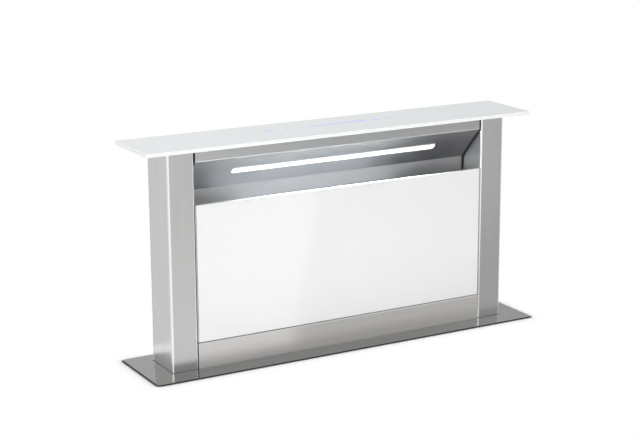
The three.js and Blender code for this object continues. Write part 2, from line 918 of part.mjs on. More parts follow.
function mainsGland() {
  const x = (controlLeft + controlRight) / 2;
  const y = casingFront - controlDepth / 2;
  const top = -controlTop - controlHeight;
  const body = rod(glandRadius, x, y, top - glandLength, top, 12);
  const bore = rod(glandBore, x, y, top - glandLength - 1, top + 1, 12);
  return named('mains_gland', cut(body, bore), blackPlastic);
}

function supportLeg(side) {
  const middle = side * legSpacing / 2;
  const path = [
    [casingRear + legReach, -legHeight],
    [casingRear, -legHeight],
    [casingRear, legOverlap - casingHeight],
  ];
  const leg = pushed(sheetOutline(path, -legSheet), 'x', middle - legWidth / 2, middle + legWidth / 2);
  return named(`support_leg_${sideName(side)}`, leg, galvanised);
}

// ---------------------------------------------------------------- assembly

function casing() {
  const group = new THREE.Group();
  group.add(worktopFlange(), towerWiper(), ...casingWalls(), casingFloor());
  group.add(...sides.map(guideRail), ...sides.map(supportLeg));
  group.add(controlBox(), controlCover(), mainsGland());
  return group;
}

function liftDrive() {
  const group = new THREE.Group();
  group.add(...sides.map(screwBearing), driveTray(), driveBelt(), liftGearbox(), liftMotor());
  group.add(...sides.map(liftScrew), ...sides.map(liftPulley));
  return group;
}

function blower() {
  const group = new THREE.Group();
  group.position.set(0, casingFront, -blowerDrop);
  group.add(blowerHousing(), blowerCover(), inletRing(), scrollWall(), impeller(), fanMotor());
  group.add(outletCollar(), ...sides.map(outletFlap));
  return group;
}

function tower() {
  const group = new THREE.Group();
  group.add(...sides.map(post), ...sides.map(sideCover), ...sides.map(postFoot));
  group.add(...sides.map(liftNut), ...sides.map(guideShoe));
  group.add(towerRearPanel(), crossBar(), kickPanel(), topPlate(), touchBoard(), lidGlass());
  group.add(intakeLiner(), ledParts(), filterLedge(), greaseFilters());
  group.add(glassPanel(), panelCarrier());
  return group;
}

const vent = new THREE.Group();
vent.add(casing(), liftDrive(), blower(), tower());

export default vent;
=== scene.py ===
"""A downdraft vent for a 60 cm worktop, raised: its looks, built round its solid model, in metres."""

import math

import bmesh
import bpy
from mathutils import Matrix, Vector


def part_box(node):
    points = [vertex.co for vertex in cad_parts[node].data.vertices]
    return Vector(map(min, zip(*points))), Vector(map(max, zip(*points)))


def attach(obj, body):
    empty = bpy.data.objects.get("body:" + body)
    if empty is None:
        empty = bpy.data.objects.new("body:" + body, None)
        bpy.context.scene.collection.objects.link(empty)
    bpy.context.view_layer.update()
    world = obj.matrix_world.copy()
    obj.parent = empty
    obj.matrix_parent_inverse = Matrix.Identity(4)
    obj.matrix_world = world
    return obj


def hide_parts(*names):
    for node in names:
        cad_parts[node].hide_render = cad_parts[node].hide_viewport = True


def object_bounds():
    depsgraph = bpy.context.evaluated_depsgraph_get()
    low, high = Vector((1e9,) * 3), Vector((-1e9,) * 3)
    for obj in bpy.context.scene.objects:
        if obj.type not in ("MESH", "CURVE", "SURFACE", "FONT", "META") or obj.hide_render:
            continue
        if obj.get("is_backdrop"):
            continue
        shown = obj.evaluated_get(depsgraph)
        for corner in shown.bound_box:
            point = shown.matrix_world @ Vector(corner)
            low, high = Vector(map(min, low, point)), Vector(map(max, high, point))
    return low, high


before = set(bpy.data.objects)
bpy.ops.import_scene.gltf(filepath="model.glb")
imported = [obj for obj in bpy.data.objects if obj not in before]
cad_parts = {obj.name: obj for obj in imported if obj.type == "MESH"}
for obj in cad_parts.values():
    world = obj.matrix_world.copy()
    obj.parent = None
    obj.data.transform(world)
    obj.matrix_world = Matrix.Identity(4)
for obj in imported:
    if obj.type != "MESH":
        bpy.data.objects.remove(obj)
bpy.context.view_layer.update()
scene = bpy.context.scene


# ---------------------------------------------------------------- camera
# The vent is seen from the cook's left, from a little above its lid, through a long lens, so that its
# uprights stay nearly parallel.
turn, tip, roll = -0.512913, 0.244911, -0.004901
sideways, rise, distance = 0.0200266, 0.0078325, 2.299209
sensor_width, focal_pixels, picture_width = 36, 1652.1832, 640
ahead = Vector((-math.sin(turn) * math.cos(tip), math.cos(turn) * math.cos(tip), -math.sin(tip)))
level = Vector((math.cos(turn), math.sin(turn), 0))
upright = level.cross(ahead)
across = level * math.cos(roll) + upright * math.sin(roll)
above = upright * math.cos(roll) - level * math.sin(roll)
middle_of_view = Vector((0, 0, 0.165))
stand = middle_of_view - across * sideways + above * rise - ahead * distance
camera = bpy.data.objects.new("camera", bpy.data.cameras.new("camera"))
camera.data.sensor_width = sensor_width
camera.data.lens = sensor_width * focal_pixels / picture_width
camera.data.clip_start, camera.data.clip_end = 0.1, 50
facing = Matrix((across, above, -ahead)).transposed().to_4x4()
camera.matrix_world = Matrix.Translation(stand) @ facing
scene.collection.objects.link(camera)
scene.camera = camera
scene.view_settings.view_transform = "Standard"


# ---------------------------------------------------------------- worktop, floor and light
# A white worktop 28 mm thick, cut out for the casing, and the pale floor that the legs stand on. Both
# are white to the camera, and a painted shadow darkens the worktop at the vent's foot.
def colour(code):
    """An sRGB hex code as the linear values of a shader's socket."""
    parts = [int(code[i:i + 2], 16) / 255 for i in (1, 3, 5)]
    return [p / 12.92 if p <= 0.04045 else ((p + 0.055) / 1.055) ** 2.4 for p in parts] + [1]


def add(tree, kind, inputs=None, **settings):
    """Adds a node, with its settings, and its inputs linked or set."""
    node = tree.nodes.new(kind)
    for name, value in settings.items():
        setattr(node, name, value)
    for name, value in (inputs or {}).items():
        several = isinstance(value, list) and isinstance(value[0], bpy.types.NodeSocket)
        for item in value if several else [value]:
            if isinstance(item, bpy.types.NodeSocket):
                tree.links.new(item, node.inputs[name])
            else:
                node.inputs[name].default_value = item
    return node


def new_material(name):
    """An empty material and its tree."""
    made = bpy.data.materials.new(name)
    made.use_nodes = True
    made.node_tree.nodes.clear()
    return made, made.node_tree


def seen(tree):
    """1 for the rays of the camera, of reflections and of clear glass, and 0 for the rest."""
    path = add(tree, "ShaderNodeLightPath").outputs
    direct = add(tree, "ShaderNodeMath", {0: path["Is Camera Ray"], 1: path["Is Glossy Ray"]})
    return add(tree, "ShaderNodeMath", {0: direct.outputs[0], 1: path["Is Transmission Ray"]},
               use_clamp=True).outputs[0]


def outlines_plate(outlines, thickness, edge=0.3):
    """A flat plate round z = 0 in mm: closed outlines, the inner ones holes, with rounded edges."""
    curve = bpy.data.curves.new("plate", "CURVE")
    curve.dimensions, curve.fill_mode = "2D", "BOTH"
    curve.extrude, curve.bevel_depth = thickness / 2 - edge, edge
    curve.bevel_resolution, curve.offset = 2, -edge
    for outline in outlines:
        spline = curve.splines.new("POLY")
        spline.points.add(len(outline) - 1)
        spline.use_cyclic_u = True
        for point, (u, v) in zip(spline.points, outline):
            point.co = (u, v, 0, 1)
    holder = bpy.data.objects.new("plate", curve)
    scene.collection.objects.link(holder)
    bpy.context.view_layer.update()
    plate = bpy.data.meshes.new_from_object(holder.evaluated_get(bpy.context.evaluated_depsgraph_get()))
    bpy.data.objects.remove(holder)
    bpy.data.curves.remove(curve)
    shape = bmesh.new()
    shape.from_mesh(plate)
    bpy.data.meshes.remove(plate)
    bmesh.ops.remove_doubles(shape, verts=shape.verts, dist=0.001)
    return shape


def moved(shape, x, y, z):
    """A bmesh, moved by this much in mm."""
    bmesh.ops.translate(shape, vec=(x, y, z), verts=shape.verts)
    return shape


def plate_between(outlines, bottom, top, edge=0.3):
    """A flat plate with rounded edges, from its outlines in plan and its two heights, in mm."""
    return moved(outlines_plate(outlines, top - bottom, edge), 0, 0, (bottom + top) / 2)


def two_faced(shape, broad):
    """Leaves the broad faces, told by their normal, in the first material and gives the second to the
    rest."""
    bmesh.ops.recalc_face_normals(shape, faces=shape.faces)
    for face in shape.faces:
        face.material_index = 0 if broad(face.normal) else 1
    return shape


def rounded(corners, steps=5):
    """A closed outline through (u, v, radius) corners, with an arc at each corner that has a radius."""
    outline = []
    for i, (u, v, radius) in enumerate(corners):
        here = Vector((u, v))
        before = (Vector(corners[i - 1][:2]) - here).normalized()
        after = (Vector(corners[(i + 1) % len(corners)][:2]) - here).normalized()
        opening = before.angle(after)
        if radius <= 0 or opening > math.pi - 0.001:
            outline.append(here[:])
            continue
        centre = here + (before + after).normalized() * radius / math.sin(opening / 2)
        start = here + before * radius / math.tan(opening / 2) - centre
        sweep = math.copysign(math.pi - opening, before.x * after.y - before.y * after.x) * -1
        for k in range(steps + 1):
            c, s = math.cos(sweep * k / steps), math.sin(sweep * k / steps)
            outline.append((centre.x + start.x * c - start.y * s, centre.y + start.x * s + start.y * c))
    return outline


def rectangle(u0, u1, v0, v1, radius=0.0, steps=5):
    """A rectangle's outline, with rounded corners."""
    return rounded([(u0, v0, radius), (u1, v0, radius), (u1, v1, radius), (u0, v1, radius)], steps)


def ring(radius, count=48, u=0.0, v=0.0):
    """A round outline."""
    angles = [math.tau * i / count for i in range(count)]
    return [(u + radius * math.cos(a), v + radius * math.sin(a)) for a in angles]


def evaluated(holder):
    """The plain mesh of an object with its modifiers, which is then gone."""
    bpy.context.view_layer.update()
    made = bpy.data.meshes.new_from_object(holder.evaluated_get(bpy.context.evaluated_depsgraph_get()))
    worn = holder.data
    bpy.data.objects.remove(holder)
    bpy.data.meshes.remove(worn)
    return made


def meshed(name, shape, smooth=32):
    """A bmesh in mm made a mesh in metres, outside out, smooth but for its sharp edges. The large
    flat faces keep their own normals beside a small rounded edge."""
    bmesh.ops.recalc_face_normals(shape, faces=shape.faces)
    bmesh.ops.scale(shape, vec=(0.001, 0.001, 0.001), verts=shape.verts)
    mesh = bpy.data.meshes.new(name)
    shape.to_mesh(mesh)
    shape.free()
    mesh.shade_smooth()
    mesh.set_sharp_from_angle(angle=math.radians(smooth))
    holder = bpy.data.objects.new(name, mesh)
    scene.collection.objects.link(holder)
    weighing = holder.modifiers.new("weigh", "WEIGHTED_NORMAL")
    weighing.keep_sharp, weighing.weight = True, 100
    made = evaluated(holder)
    made.name = name
    return made


def span(node):
    """A CAD node's lowest and highest corner, in mm."""
    low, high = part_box(node)
    return low * 1000, high * 1000


worktop_thickness, floor_level, floor_reach, hair = 28, -700, 12000, 0.02
worktop_outline = rectangle(-750, 600, -600, 100, 3)
cut_out = rectangle(-281, 281, -52, 52, 2)
slab = plate_between([worktop_outline, cut_out], -worktop_thickness - hair, -hair, 1)
slab = two_faced(slab, lambda normal: normal.z > 0.9)
ground = bmesh.new()
bmesh.ops.create_grid(ground, x_segments=1, y_segments=1, size=floor_reach)
ground = moved(ground, 0, 0, floor_level - hair)


def studio_side(tree):
    """A painted reflection of the studio: white on the cook's left, and painted greyer past a leaning
    plane that starts at the vent's middle and runs forward to the right. 1 to the camera."""
    on_plane, plane_facing, blur = (-0.073, -0.0285, 0.053), (0.841, 0.516, -0.161), 0.008
    place = add(tree, "ShaderNodeNewGeometry").outputs["Position"]
    from_plane = add(tree, "ShaderNodeVectorMath", {0: place, 1: on_plane}, operation="SUBTRACT")
    aside = add(tree, "ShaderNodeVectorMath", {0: from_plane.outputs[0], 1: plane_facing},
                operation="DOT_PRODUCT")
    grey = add(tree, "ShaderNodeMapRange", {
        0: aside.outputs["Value"], 1: -blur, 2: blur, 3: 1.0, 4: 0.6,
    })
    direct = add(tree, "ShaderNodeLightPath").outputs["Is Camera Ray"]
    return add(tree, "ShaderNodeMapRange", {
        0: direct, 1: 0.0, 2: 1.0, 3: grey.outputs[0], 4: 1.0,
    }).outputs[0]


# Satin white laminate is an even white, with a painted shadow, taken from ambient occlusion, where
# something stands close to it.
white_laminate, tree = new_material("white laminate worktop")
near = add(tree, "ShaderNodeAmbientOcclusion", {"Distance": 0.02}, samples=16)
shade = add(tree, "ShaderNodeMapRange", {0: near.outputs["AO"], 1: 0.92, 2: 1.0, 3: 0.08, 4: 1.0})
strength = add(tree, "ShaderNodeMath", {0: shade.outputs[0], 1: studio_side(tree)},
               operation="MULTIPLY")
glow = add(tree, "ShaderNodeEmission", {"Color": colour("#ffffff"), "Strength": strength.outputs[0]})
plain = add(tree, "ShaderNodeBsdfDiffuse", {"Color": colour("#e9e9e8")})
either = add(tree, "ShaderNodeMixShader", {0: seen(tree), 1: plain.outputs[0], 2: glow.outputs[0]})
add(tree, "ShaderNodeOutputMaterial", {"Surface": either.outputs[0]})

# The edge band is a printed film, dull, with a faint fleck of about 8 mm.
laminate_edge, tree = new_material("laminate edge band")
fleck = 8.333
speck = add(tree, "ShaderNodeTexNoise", {
    "Vector": add(tree, "ShaderNodeTexCoord").outputs["Object"], "Scale": 1000 / fleck,
})
band = add(tree, "ShaderNodeMix", {
    "Factor": speck.outputs[0], "A": colour("#dcdcda"), "B": colour("#d2d2d0"),
}, data_type="RGBA")
plain = add(tree, "ShaderNodeBsdfDiffuse", {"Color": band.outputs["Result"]})
add(tree, "ShaderNodeOutputMaterial", {"Surface": plain.outputs[0]})

# A sealed pale floor has no gloss and no pattern.
pale_floor, tree = new_material("pale floor")
plain = add(tree, "ShaderNodeBsdfDiffuse", {"Color": colour("#e6e6e4")})
glow = add(tree, "ShaderNodeEmission", {"Color": colour("#ffffff"), "Strength": studio_side(tree)})
either = add(tree, "ShaderNodeMixShader", {0: seen(tree), 1: plain.outputs[0], 2: glow.outputs[0]})
add(tree, "ShaderNodeOutputMaterial", {"Surface": either.outputs[0]})

for name, shape, finishes in (("worktop", slab, (white_laminate, laminate_edge)),
                              ("floor", ground, (pale_floor,))):
    thing = bpy.data.objects.new(name, meshed(name, shape))
    for finish in finishes:
        thing.data.materials.append(finish)
    scene.collection.objects.link(thing)
    thing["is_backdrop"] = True

scene.world = bpy.data.worlds.new("studio")
scene.world.use_nodes = True
tree = scene.world.node_tree
tree.nodes.clear()
soft_light = add(tree, "ShaderNodeBackground", {"Color": colour("#ffffff"), "Strength": 0.72})
# In reflections the world is white and painted darker towards +x, a painted reflection; the light it
# sheds stays even.
way = add(tree, "ShaderNodeSeparateXYZ", {0: add(tree, "ShaderNodeTexCoord").outputs["Generated"]})
falling = add(tree, "ShaderNodeMapRange", {0: way.outputs[0], 1: 0.4, 2: 0.6, 3: 1.0, 4: 0.78})
direct = add(tree, "ShaderNodeLightPath").outputs["Is Camera Ray"]
even = add(tree, "ShaderNodeMapRange", {0: direct, 1: 0.0, 2: 1.0, 3: falling.outputs[0], 4: 1.0})
backdrop = add(tree, "ShaderNodeBackground", {"Color": colour("#ffffff"), "Strength": even.outputs[0]})
studio = add(tree, "ShaderNodeMixShader", {
    0: seen(tree), 1: soft_light.outputs[0], 2: backdrop.outputs[0],
})
add(tree, "ShaderNodeOutputWorld", {"Surface": studio.outputs[0]})

# name, place, aim, width and height in m, watts
for name, place, aim, width, height, watts in (
    ("window_light", (-2.3, -2.2, 1.15), (0, 0, 0.12), 1.6, 1.6, 34),
    ("side_light", (2.6, -1.6, 1.3), (0, 0, 0.1), 1.4, 1.4, 9),
    ("top_light", (0.2, 0.4, 3.0), (0, 0, 0), 1.8, 1.8, 10),
):
    lamp = bpy.data.objects.new(name, bpy.data.lights.new(name, "AREA"))
    lamp.data.shape, lamp.data.size, lamp.data.size_y = "RECTANGLE", width, height
    lamp.data.energy = watts
    lamp.location = place
    lamp.rotation_euler = (Vector(aim) - Vector(place)).to_track_quat("-Z", "Y").to_euler()
    lamp.visible_camera = False
    scene.collection.objects.link(lamp)


# ---------------------------------------------------------------- worktop flange and wiper
# A stainless plate 1.5 mm thick that lies on the worktop, brushed along its length, with a sheared rim.
# Under it a grey rubber wiper goes round the tower and keeps crumbs out of the casing.
def brushed(name, light, dark, roughness, marks, depth=0.0006, broad=(420, 420, 30)):
    """Metal with the fine lines of its grit or tool. marks gives the size in mm of a line along x, y
    and z; real ones are 0.05 mm wide, and are drawn wider, so that they show. Long lines spread light
    across themselves and not along."""
    made, tree = new_material(name)
    place = add(tree, "ShaderNodeTexCoord").outputs["Object"]
    tones = []
    for size, detail in ((marks, 2.0), (broad, 3.0)):
        scaled = add(tree, "ShaderNodeMapping", {"Vector": place, "Scale": [1000 / s for s in size]})
        tones.append(add(tree, "ShaderNodeTexNoise", {
            "Vector": scaled.outputs[0], "Scale": 1.0, "Detail": detail, "Roughness": 0.55,
        }).outputs[0])
    blend = add(tree, "ShaderNodeMath", {0: tones[0], 1: tones[1]})
    tone = add(tree, "ShaderNodeMapRange", {0: blend.outputs[0], 1: 0.7, 2: 1.3, 3: 0.0, 4: 1.0})
    tint = add(tree, "ShaderNodeMix", {
        "Factor": tone.outputs[0], "A": colour(dark), "B": colour(light),
    }, data_type="RGBA")
    shine = add(tree, "ShaderNodeMapRange", {
        0: tones[0], 1: 0.25, 2: 0.75, 3: roughness - 0.005, 4: roughness + 0.005,
    })
    relief = add(tree, "ShaderNodeBump", {
        "Height": tones[0], "Strength": 0.4, "Distance": depth / 1000,
    })
    surface = add(tree, "ShaderNodeBsdfPrincipled", {
        "Base Color": tint.outputs["Result"], "Metallic": 1.0, "Roughness": shine.outputs[0],
        "Normal": relief.outputs[0],
    })
    run = [float(s == max(marks)) for s in marks]
    if sum(run) == 1:
        lines = add(tree, "ShaderNodeVectorTransform", {0: run}, vector_type="VECTOR",
                    convert_from="OBJECT", convert_to="WORLD")
        facing = add(tree, "ShaderNodeNewGeometry").outputs["Normal"]
        crosswise = add(tree, "ShaderNodeVectorMath", {0: facing, 1: lines.outputs[0]},
                        operation="CROSS_PRODUCT")
        tree.links.new(crosswise.outputs[0], surface.inputs["Tangent"])
        surface.inputs["Anisotropic"].default_value = 0.7
    add(tree, "ShaderNodeOutputMaterial", {"Surface": surface.outputs[0]})
    return made


def moulded(name, light, dark, roughness, grain, depth=0.02, cloud_size=60):
    """Plastic or rubber as it leaves the mould: an even colour with the grain of the tool, and faint
    clouds where it flowed. Sizes are in mm. Real grain is finer, and is drawn coarser, so that it
    shows."""
    made, tree = new_material(name)
    place = add(tree, "ShaderNodeTexCoord").outputs["Object"]
    fine = add(tree, "ShaderNodeTexNoise", {"Vector": place, "Scale": 1000 / grain, "Detail": 2.0})
    cloud = add(tree, "ShaderNodeTexNoise", {
        "Vector": place, "Scale": 1000 / cloud_size, "Detail": 2.0,
    })
    tint = add(tree, "ShaderNodeMix", {
        "Factor": cloud.outputs[0], "A": colour(dark), "B": colour(light),
    }, data_type="RGBA")
    relief = add(tree, "ShaderNodeBump", {
        "Height": fine.outputs[0], "Strength": 0.5, "Distance": depth / 1000,
    })
    surface = add(tree, "ShaderNodeBsdfPrincipled", {
        "Base Color": tint.outputs["Result"], "Roughness": roughness, "IOR": 1.49,
        "Normal": relief.outputs[0],
    })
    add(tree, "ShaderNodeOutputMaterial", {"Surface": surface.outputs[0]})
    return made


def fitted(name, shape, body, slot, nodes, *materials):
    """A finished piece: on its body, in place of its CAD nodes, in its finish."""
    mesh = meshed(name, shape) if isinstance(shape, bmesh.types.BMesh) else shape
    piece = bpy.data.objects.new(name, mesh)
    for material in materials:
        mesh.materials.append(material)
    scene.collection.objects.link(piece)
    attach(piece, body)
    if nodes:
        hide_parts(*nodes)
    return piece


def together(first, *others):
    """Several bmeshes as one."""
    for other in others:
        mesh = bpy.data.meshes.new("part")
        other.to_mesh(mesh)
        other.free()
        first.from_mesh(mesh)
        bpy.data.meshes.remove(mesh)
    return first


def round_tower(reach, radius=0.6):
    """An outline that keeps this far from the tower."""
    return rectangle(tower_low.x - reach, tower_high.x + reach,
                     tower_low.y - reach, tower_high.y + reach, radius)


# Lines along the plate spread its shine from front to back. Its steel is painted darker than the
# posts', a painted reflection of a dark room above, and the sheared rim is dull and painted dark, a
# painted shade.
flange_steel = brushed("brushed stainless, flange", "#8e8e8d", "#888887", 0.2, (120, 1.0, 1.0),
                       broad=(600, 40, 40))
flange_rim_shade = brushed("sheared stainless rim, painted shade", "#3e3e3d", "#353534", 0.5, (45, 1.0, 1.0))
low, high = span("worktop_flange")
tower_low, tower_high = span("left_post")[0], span("right_post")[1]
play, corner = 1.5, 4
plate = plate_between([rectangle(low.x, high.x, low.y, high.y, corner, 8), round_tower(play)],
                      low.z, high.z, 0.35)
plate = two_faced(plate, lambda normal: normal.z >= 0.5)
fitted("worktop_flange_plate", plate, "casing", "brushed_stainless", ["worktop_flange"],
       flange_steel, flange_rim_shade)

# Matt rubber shows hardly any highlight.
wiper_rubber = moulded("grey EPDM rubber, wiper", "#a9aaaa", "#a0a1a1", 0.6, 0.8)
low, high = span("tower_wiper")
gap_to_tower, lip_wide, lip_foot, lip_top = 0.5, 0.8, -2, 1.3
opening = round_tower(gap_to_tower)
wiper = together(
    plate_between([rectangle(low.x, high.x, low.y, high.y, 3), opening], low.z, high.z),
    plate_between([round_tower(gap_to_tower + lip_wide, 1), opening], lip_foot, lip_top),
)
fitted("tower_wiper_ring", wiper, "casing", "rubber", ["tower_wiper"], wiper_rubber)


# ---------------------------------------------------------------- casing under the worktop
# A box of 1.2 mm galvanised sheet, with long beads pressed into its broad walls against drumming, and
# blind rivets down its corners and through its sides into the guide rails.
def galvanised(name, light, dark, roughness, spangle=9, frost_size=4):
    """Hot-dip galvanised sheet: zinc crystals of about 9 mm with rims feathered by a finer frost, each
    with a grey, a gloss and a slant of its own."""
    made, tree = new_material(name)
    place = add(tree, "ShaderNodeTexCoord").outputs["Object"]
    frost = add(tree, "ShaderNodeTexNoise", {
        "Vector": place, "Scale": 1000 / frost_size, "Detail": 3.0,
    })
    feathered = add(tree, "ShaderNodeVectorMath", {0: frost.outputs["Color"], "Scale": 0.006},
                    operation="SCALE")
    shifted = add(tree, "ShaderNodeVectorMath", {0: place, 1: feathered.outputs[0]})
    crystal = add(tree, "ShaderNodeTexVoronoi", {"Vector": shifted.outputs[0], "Scale": 1000 / spangle})
    own = crystal.outputs["Color"]
    grey = add(tree, "ShaderNodeSeparateColor", {"Color": own}).outputs[0]
    mixed = add(tree, "ShaderNodeMix", {"Factor": 0.25, "A": grey, "B": frost.outputs[0]})
    tint = add(tree, "ShaderNodeMix", {
        "Factor": mixed.outputs["Result"], "A": colour(dark), "B": colour(light),
    }, data_type="RGBA")
    shine = add(tree, "ShaderNodeMapRange", {
        0: grey, 1: 0.0, 2: 1.0, 3: roughness - 0.08, 4: roughness + 0.06,
    })
    centred = add(tree, "ShaderNodeVectorMath", {0: own, 1: (0.5, 0.5, 0.5)}, operation="SUBTRACT")
    slant = add(tree, "ShaderNodeVectorMath", {0: centred.outputs[0], "Scale": 0.14}, operation="SCALE")
    flat = add(tree, "ShaderNodeNewGeometry").outputs["Normal"]
    slanted = add(tree, "ShaderNodeVectorMath", {0: flat, 1: slant.outputs[0]})
    relief = add(tree, "ShaderNodeVectorMath", {0: slanted.outputs[0]}, operation="NORMALIZE")
    surface = add(tree, "ShaderNodeBsdfPrincipled", {
        "Base Color": tint.outputs["Result"], "Metallic": 1.0, "Roughness": shine.outputs[0],
        "Normal": relief.outputs[0],
    })
    add(tree, "ShaderNodeOutputMaterial", {"Surface": surface.outputs[0]})
    return made


def as_drawn(node, material):
    """A piece whose CAD shape is right as it is, and only takes its finish."""
    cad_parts[node].material_slots[0].material = material


def block(low, high, edge=0.5):
    """A rectangular block between two corners, in mm, with rounded edges."""
    low, high = Vector(low), Vector(high)
    shape = bmesh.new()
    bmesh.ops.create_cube(shape, size=1)
    bmesh.ops.scale(shape, vec=high - low, verts=shape.verts)
    bmesh.ops.translate(shape, vec=(low + high) / 2, verts=shape.verts)
    if edge:
        bmesh.ops.bevel(shape, geom=shape.edges[:], offset=edge, segments=3, profile=0.5,
                        affect="EDGES")
    return shape


def turned(profile, axis, centre, steps=48):
    """A closed outline of (radius, along) corners in mm, turned round an axis through a point."""
    place = {
        "x": lambda r, w, c, s: (w, centre[1] + r * c, centre[2] + r * s),
        "y": lambda r, w, c, s: (centre[0] + r * c, w, centre[2] + r * s),
        "z": lambda r, w, c, s: (centre[0] + r * c, centre[1] + r * s, w),
    }[axis]
    shape = bmesh.new()
    rings = []
    for k in range(steps):
        c, s = math.cos(math.tau * k / steps), math.sin(math.tau * k / steps)
        rings.append([shape.verts.new(place(radius, along, c, s)) for radius, along in profile])
    for k in range(steps):
        here, there = rings[k], rings[(k + 1) % steps]
        for i in range(len(profile)):
            j = (i + 1) % len(profile)
            if profile[i][0] > 0.001 or profile[j][0] > 0.001:
                shape.faces.new((here[i], here[j], there[j], there[i]))
    bmesh.ops.remove_doubles(shape, verts=shape.verts, dist=0.0005)
    bmesh.ops.dissolve_degenerate(shape, edges=shape.edges, dist=0.0005)
    return shape


def rod(radius, axis, centre, start, stop, edge=0.5, steps=48):
    """A solid round bar in mm with its rims rounded."""
    profile = rounded([(0, start, 0), (radius, start, edge), (radius, stop, edge), (0, stop, 0)], 3)
    return turned(profile, axis, centre, steps)


def cut_away(shape, *tools):
    """A bmesh less the shapes of others."""
    for tool in tools:
        things = []
        for part in (shape, tool):
            bmesh.ops.recalc_face_normals(part, faces=part.faces)
            mesh = bpy.data.meshes.new("part")
            part.to_mesh(mesh)
            part.free()
            things.append(bpy.data.objects.new("part", mesh))
            scene.collection.objects.link(things[-1])
        cutting = things[0].modifiers.new("cut", "BOOLEAN")
        cutting.object, cutting.solver = things[1], "EXACT"
        left = evaluated(things[0])
        bpy.data.objects.remove(things[1])
        shape = bmesh.new()
        shape.from_mesh(left)
        bpy.data.meshes.remove(left)
    return shape


def new_tree(name, **sizes):
    """A Geometry Nodes tree with named inputs: its sizes, then its finish."""
    tree = bpy.data.node_groups.new(name, "GeometryNodeTree")
    tree.interface.new_socket("Geometry", in_out="INPUT", socket_type="NodeSocketGeometry")
    for size, kind in sizes.items():
        tree.interface.new_socket(size, in_out="INPUT", socket_type="NodeSocket" + kind)
    tree.interface.new_socket("Finish", in_out="INPUT", socket_type="NodeSocketMaterial")
    tree.interface.new_socket("Geometry", in_out="OUTPUT", socket_type="NodeSocketGeometry")
    return tree, add(tree, "NodeGroupInput").outputs


def closed(tree, geometry, finish):
    """The end of each tree: real geometry, in its finish."""
    real = add(tree, "GeometryNodeRealizeInstances", {"Geometry": geometry})
    done = add(tree, "GeometryNodeSetMaterial", {"Geometry": real.outputs[0], "Material": finish})
    add(tree, "NodeGroupOutput", {"Geometry": done.outputs[0]})


def turned_to_place(tree):
    """Turns an item's Z to its place's facing, and its X along it."""
    named = [add(tree, "GeometryNodeInputNamedAttribute", {"Name": key},
                 data_type="FLOAT_VECTOR").outputs[0] for key in ("facing", "along")]
    out = add(tree, "FunctionNodeAlignRotationToVector", {"Vector": named[0]}, axis="Z")
    return add(tree, "FunctionNodeAlignRotationToVector", {
        "Rotation": out.outputs[0], "Vector": named[1],
    }, axis="X", pivot_axis="Z").outputs[0]


def grown(name, mesh, tree, **inputs):
    """The plain mesh that a tree makes of this one."""
    holder = bpy.data.objects.new(name, mesh)
    scene.collection.objects.link(holder)
    modifier = holder.modifiers.new(tree.name, "NODES")
    modifier.node_group = tree
    for item in tree.interface.items_tree:
        if item.item_type == "SOCKET" and item.in_out == "INPUT" and item.name in inputs:
            modifier[item.identifier] = inputs[item.name]
    made = evaluated(holder)
    made.name = name
    for key in ("facing", "along"):
        if key in made.attributes:
            made.attributes.remove(made.attributes[key])
    made.shade_smooth()
    made.set_sharp_from_angle(angle=math.radians(35))
    return made


def on_places(name, tree, places, body, slot, **inputs):
    """A piece of like items, one at each (place in mm, facing, along)."""
    mesh = bpy.data.meshes.new(name)
    mesh.from_pydata([[c / 1000 for c in entry[0]] for entry in places], [], [])
    for index, key in enumerate(("facing", "along"), 1):
        layer = mesh.attributes.new(key, "FLOAT_VECTOR", "POINT")
        for item, entry in zip(layer.data, places):
            item.vector = entry[index]
    return fitted(name, grown(name, mesh, tree, **inputs), body, slot, [])


fastener, given = new_tree("screw and rivet heads", Radius="Float", Rise="Float", Socket="Float")
crown = add(fastener, "ShaderNodeMath", {0: given["Radius"], 1: 0.68}, operation="MULTIPLY")
dome = add(fastener, "GeometryNodeMeshCone", {
    "Vertices": 18, "Radius Top": crown.outputs[0], "Radius Bottom": given["Radius"],
    "Depth": given["Rise"],
})
drive = add(fastener, "GeometryNodeMeshCylinder", {
    "Vertices": 6, "Radius": given["Socket"], "Depth": given["Rise"],
})
lift = add(fastener, "ShaderNodeCombineXYZ", {"Z": given["Rise"]})
raised = add(fastener, "GeometryNodeTransform", {
    "Geometry": drive.outputs["Mesh"], "Translation": lift.outputs[0],
})
head = add(fastener, "GeometryNodeMeshBoolean", {
    "Mesh 1": dome.outputs["Mesh"], "Mesh 2": raised.outputs[0],
}, operation="DIFFERENCE", solver="EXACT")
spread = add(fastener, "GeometryNodeInstanceOnPoints", {
    "Points": given["Geometry"], "Instance": head.outputs[0], "Rotation": turned_to_place(fastener),
})
closed(fastener, spread.outputs[0], given["Finish"])

pressing, given = new_tree("pressed beads", Length="Float", Width="Float", Rise="Float")
half_width = add(pressing, "ShaderNodeMath", {0: given["Width"], 1: 0.5},
                 operation="MULTIPLY").outputs[0]
straight = add(pressing, "ShaderNodeMath", {0: given["Length"], 1: given["Width"]},
               operation="SUBTRACT").outputs[0]
bar = add(pressing, "GeometryNodeMeshCylinder", {
    "Vertices": 20, "Radius": half_width, "Depth": straight,
}, fill_type="NONE")
lying = add(pressing, "GeometryNodeTransform", {
    "Geometry": bar.outputs["Mesh"], "Rotation": (0, math.pi / 2, 0),
})
ends = []
for way in (-0.5, 0.5):
    cap = add(pressing, "GeometryNodeMeshUVSphere", {"Segments": 20, "Rings": 10, "Radius": half_width})
    reach = add(pressing, "ShaderNodeMath", {0: straight, 1: way}, operation="MULTIPLY")
    along = add(pressing, "ShaderNodeCombineXYZ", {"X": reach.outputs[0]})
    ends.append(add(pressing, "GeometryNodeTransform", {
        "Geometry": cap.outputs["Mesh"], "Translation": along.outputs[0],
    }).outputs[0])
whole = add(pressing, "GeometryNodeJoinGeometry", {"Geometry": [lying.outputs[0], *ends]})
share = add(pressing, "ShaderNodeMath", {0: given["Rise"], 1: half_width}, operation="DIVIDE")
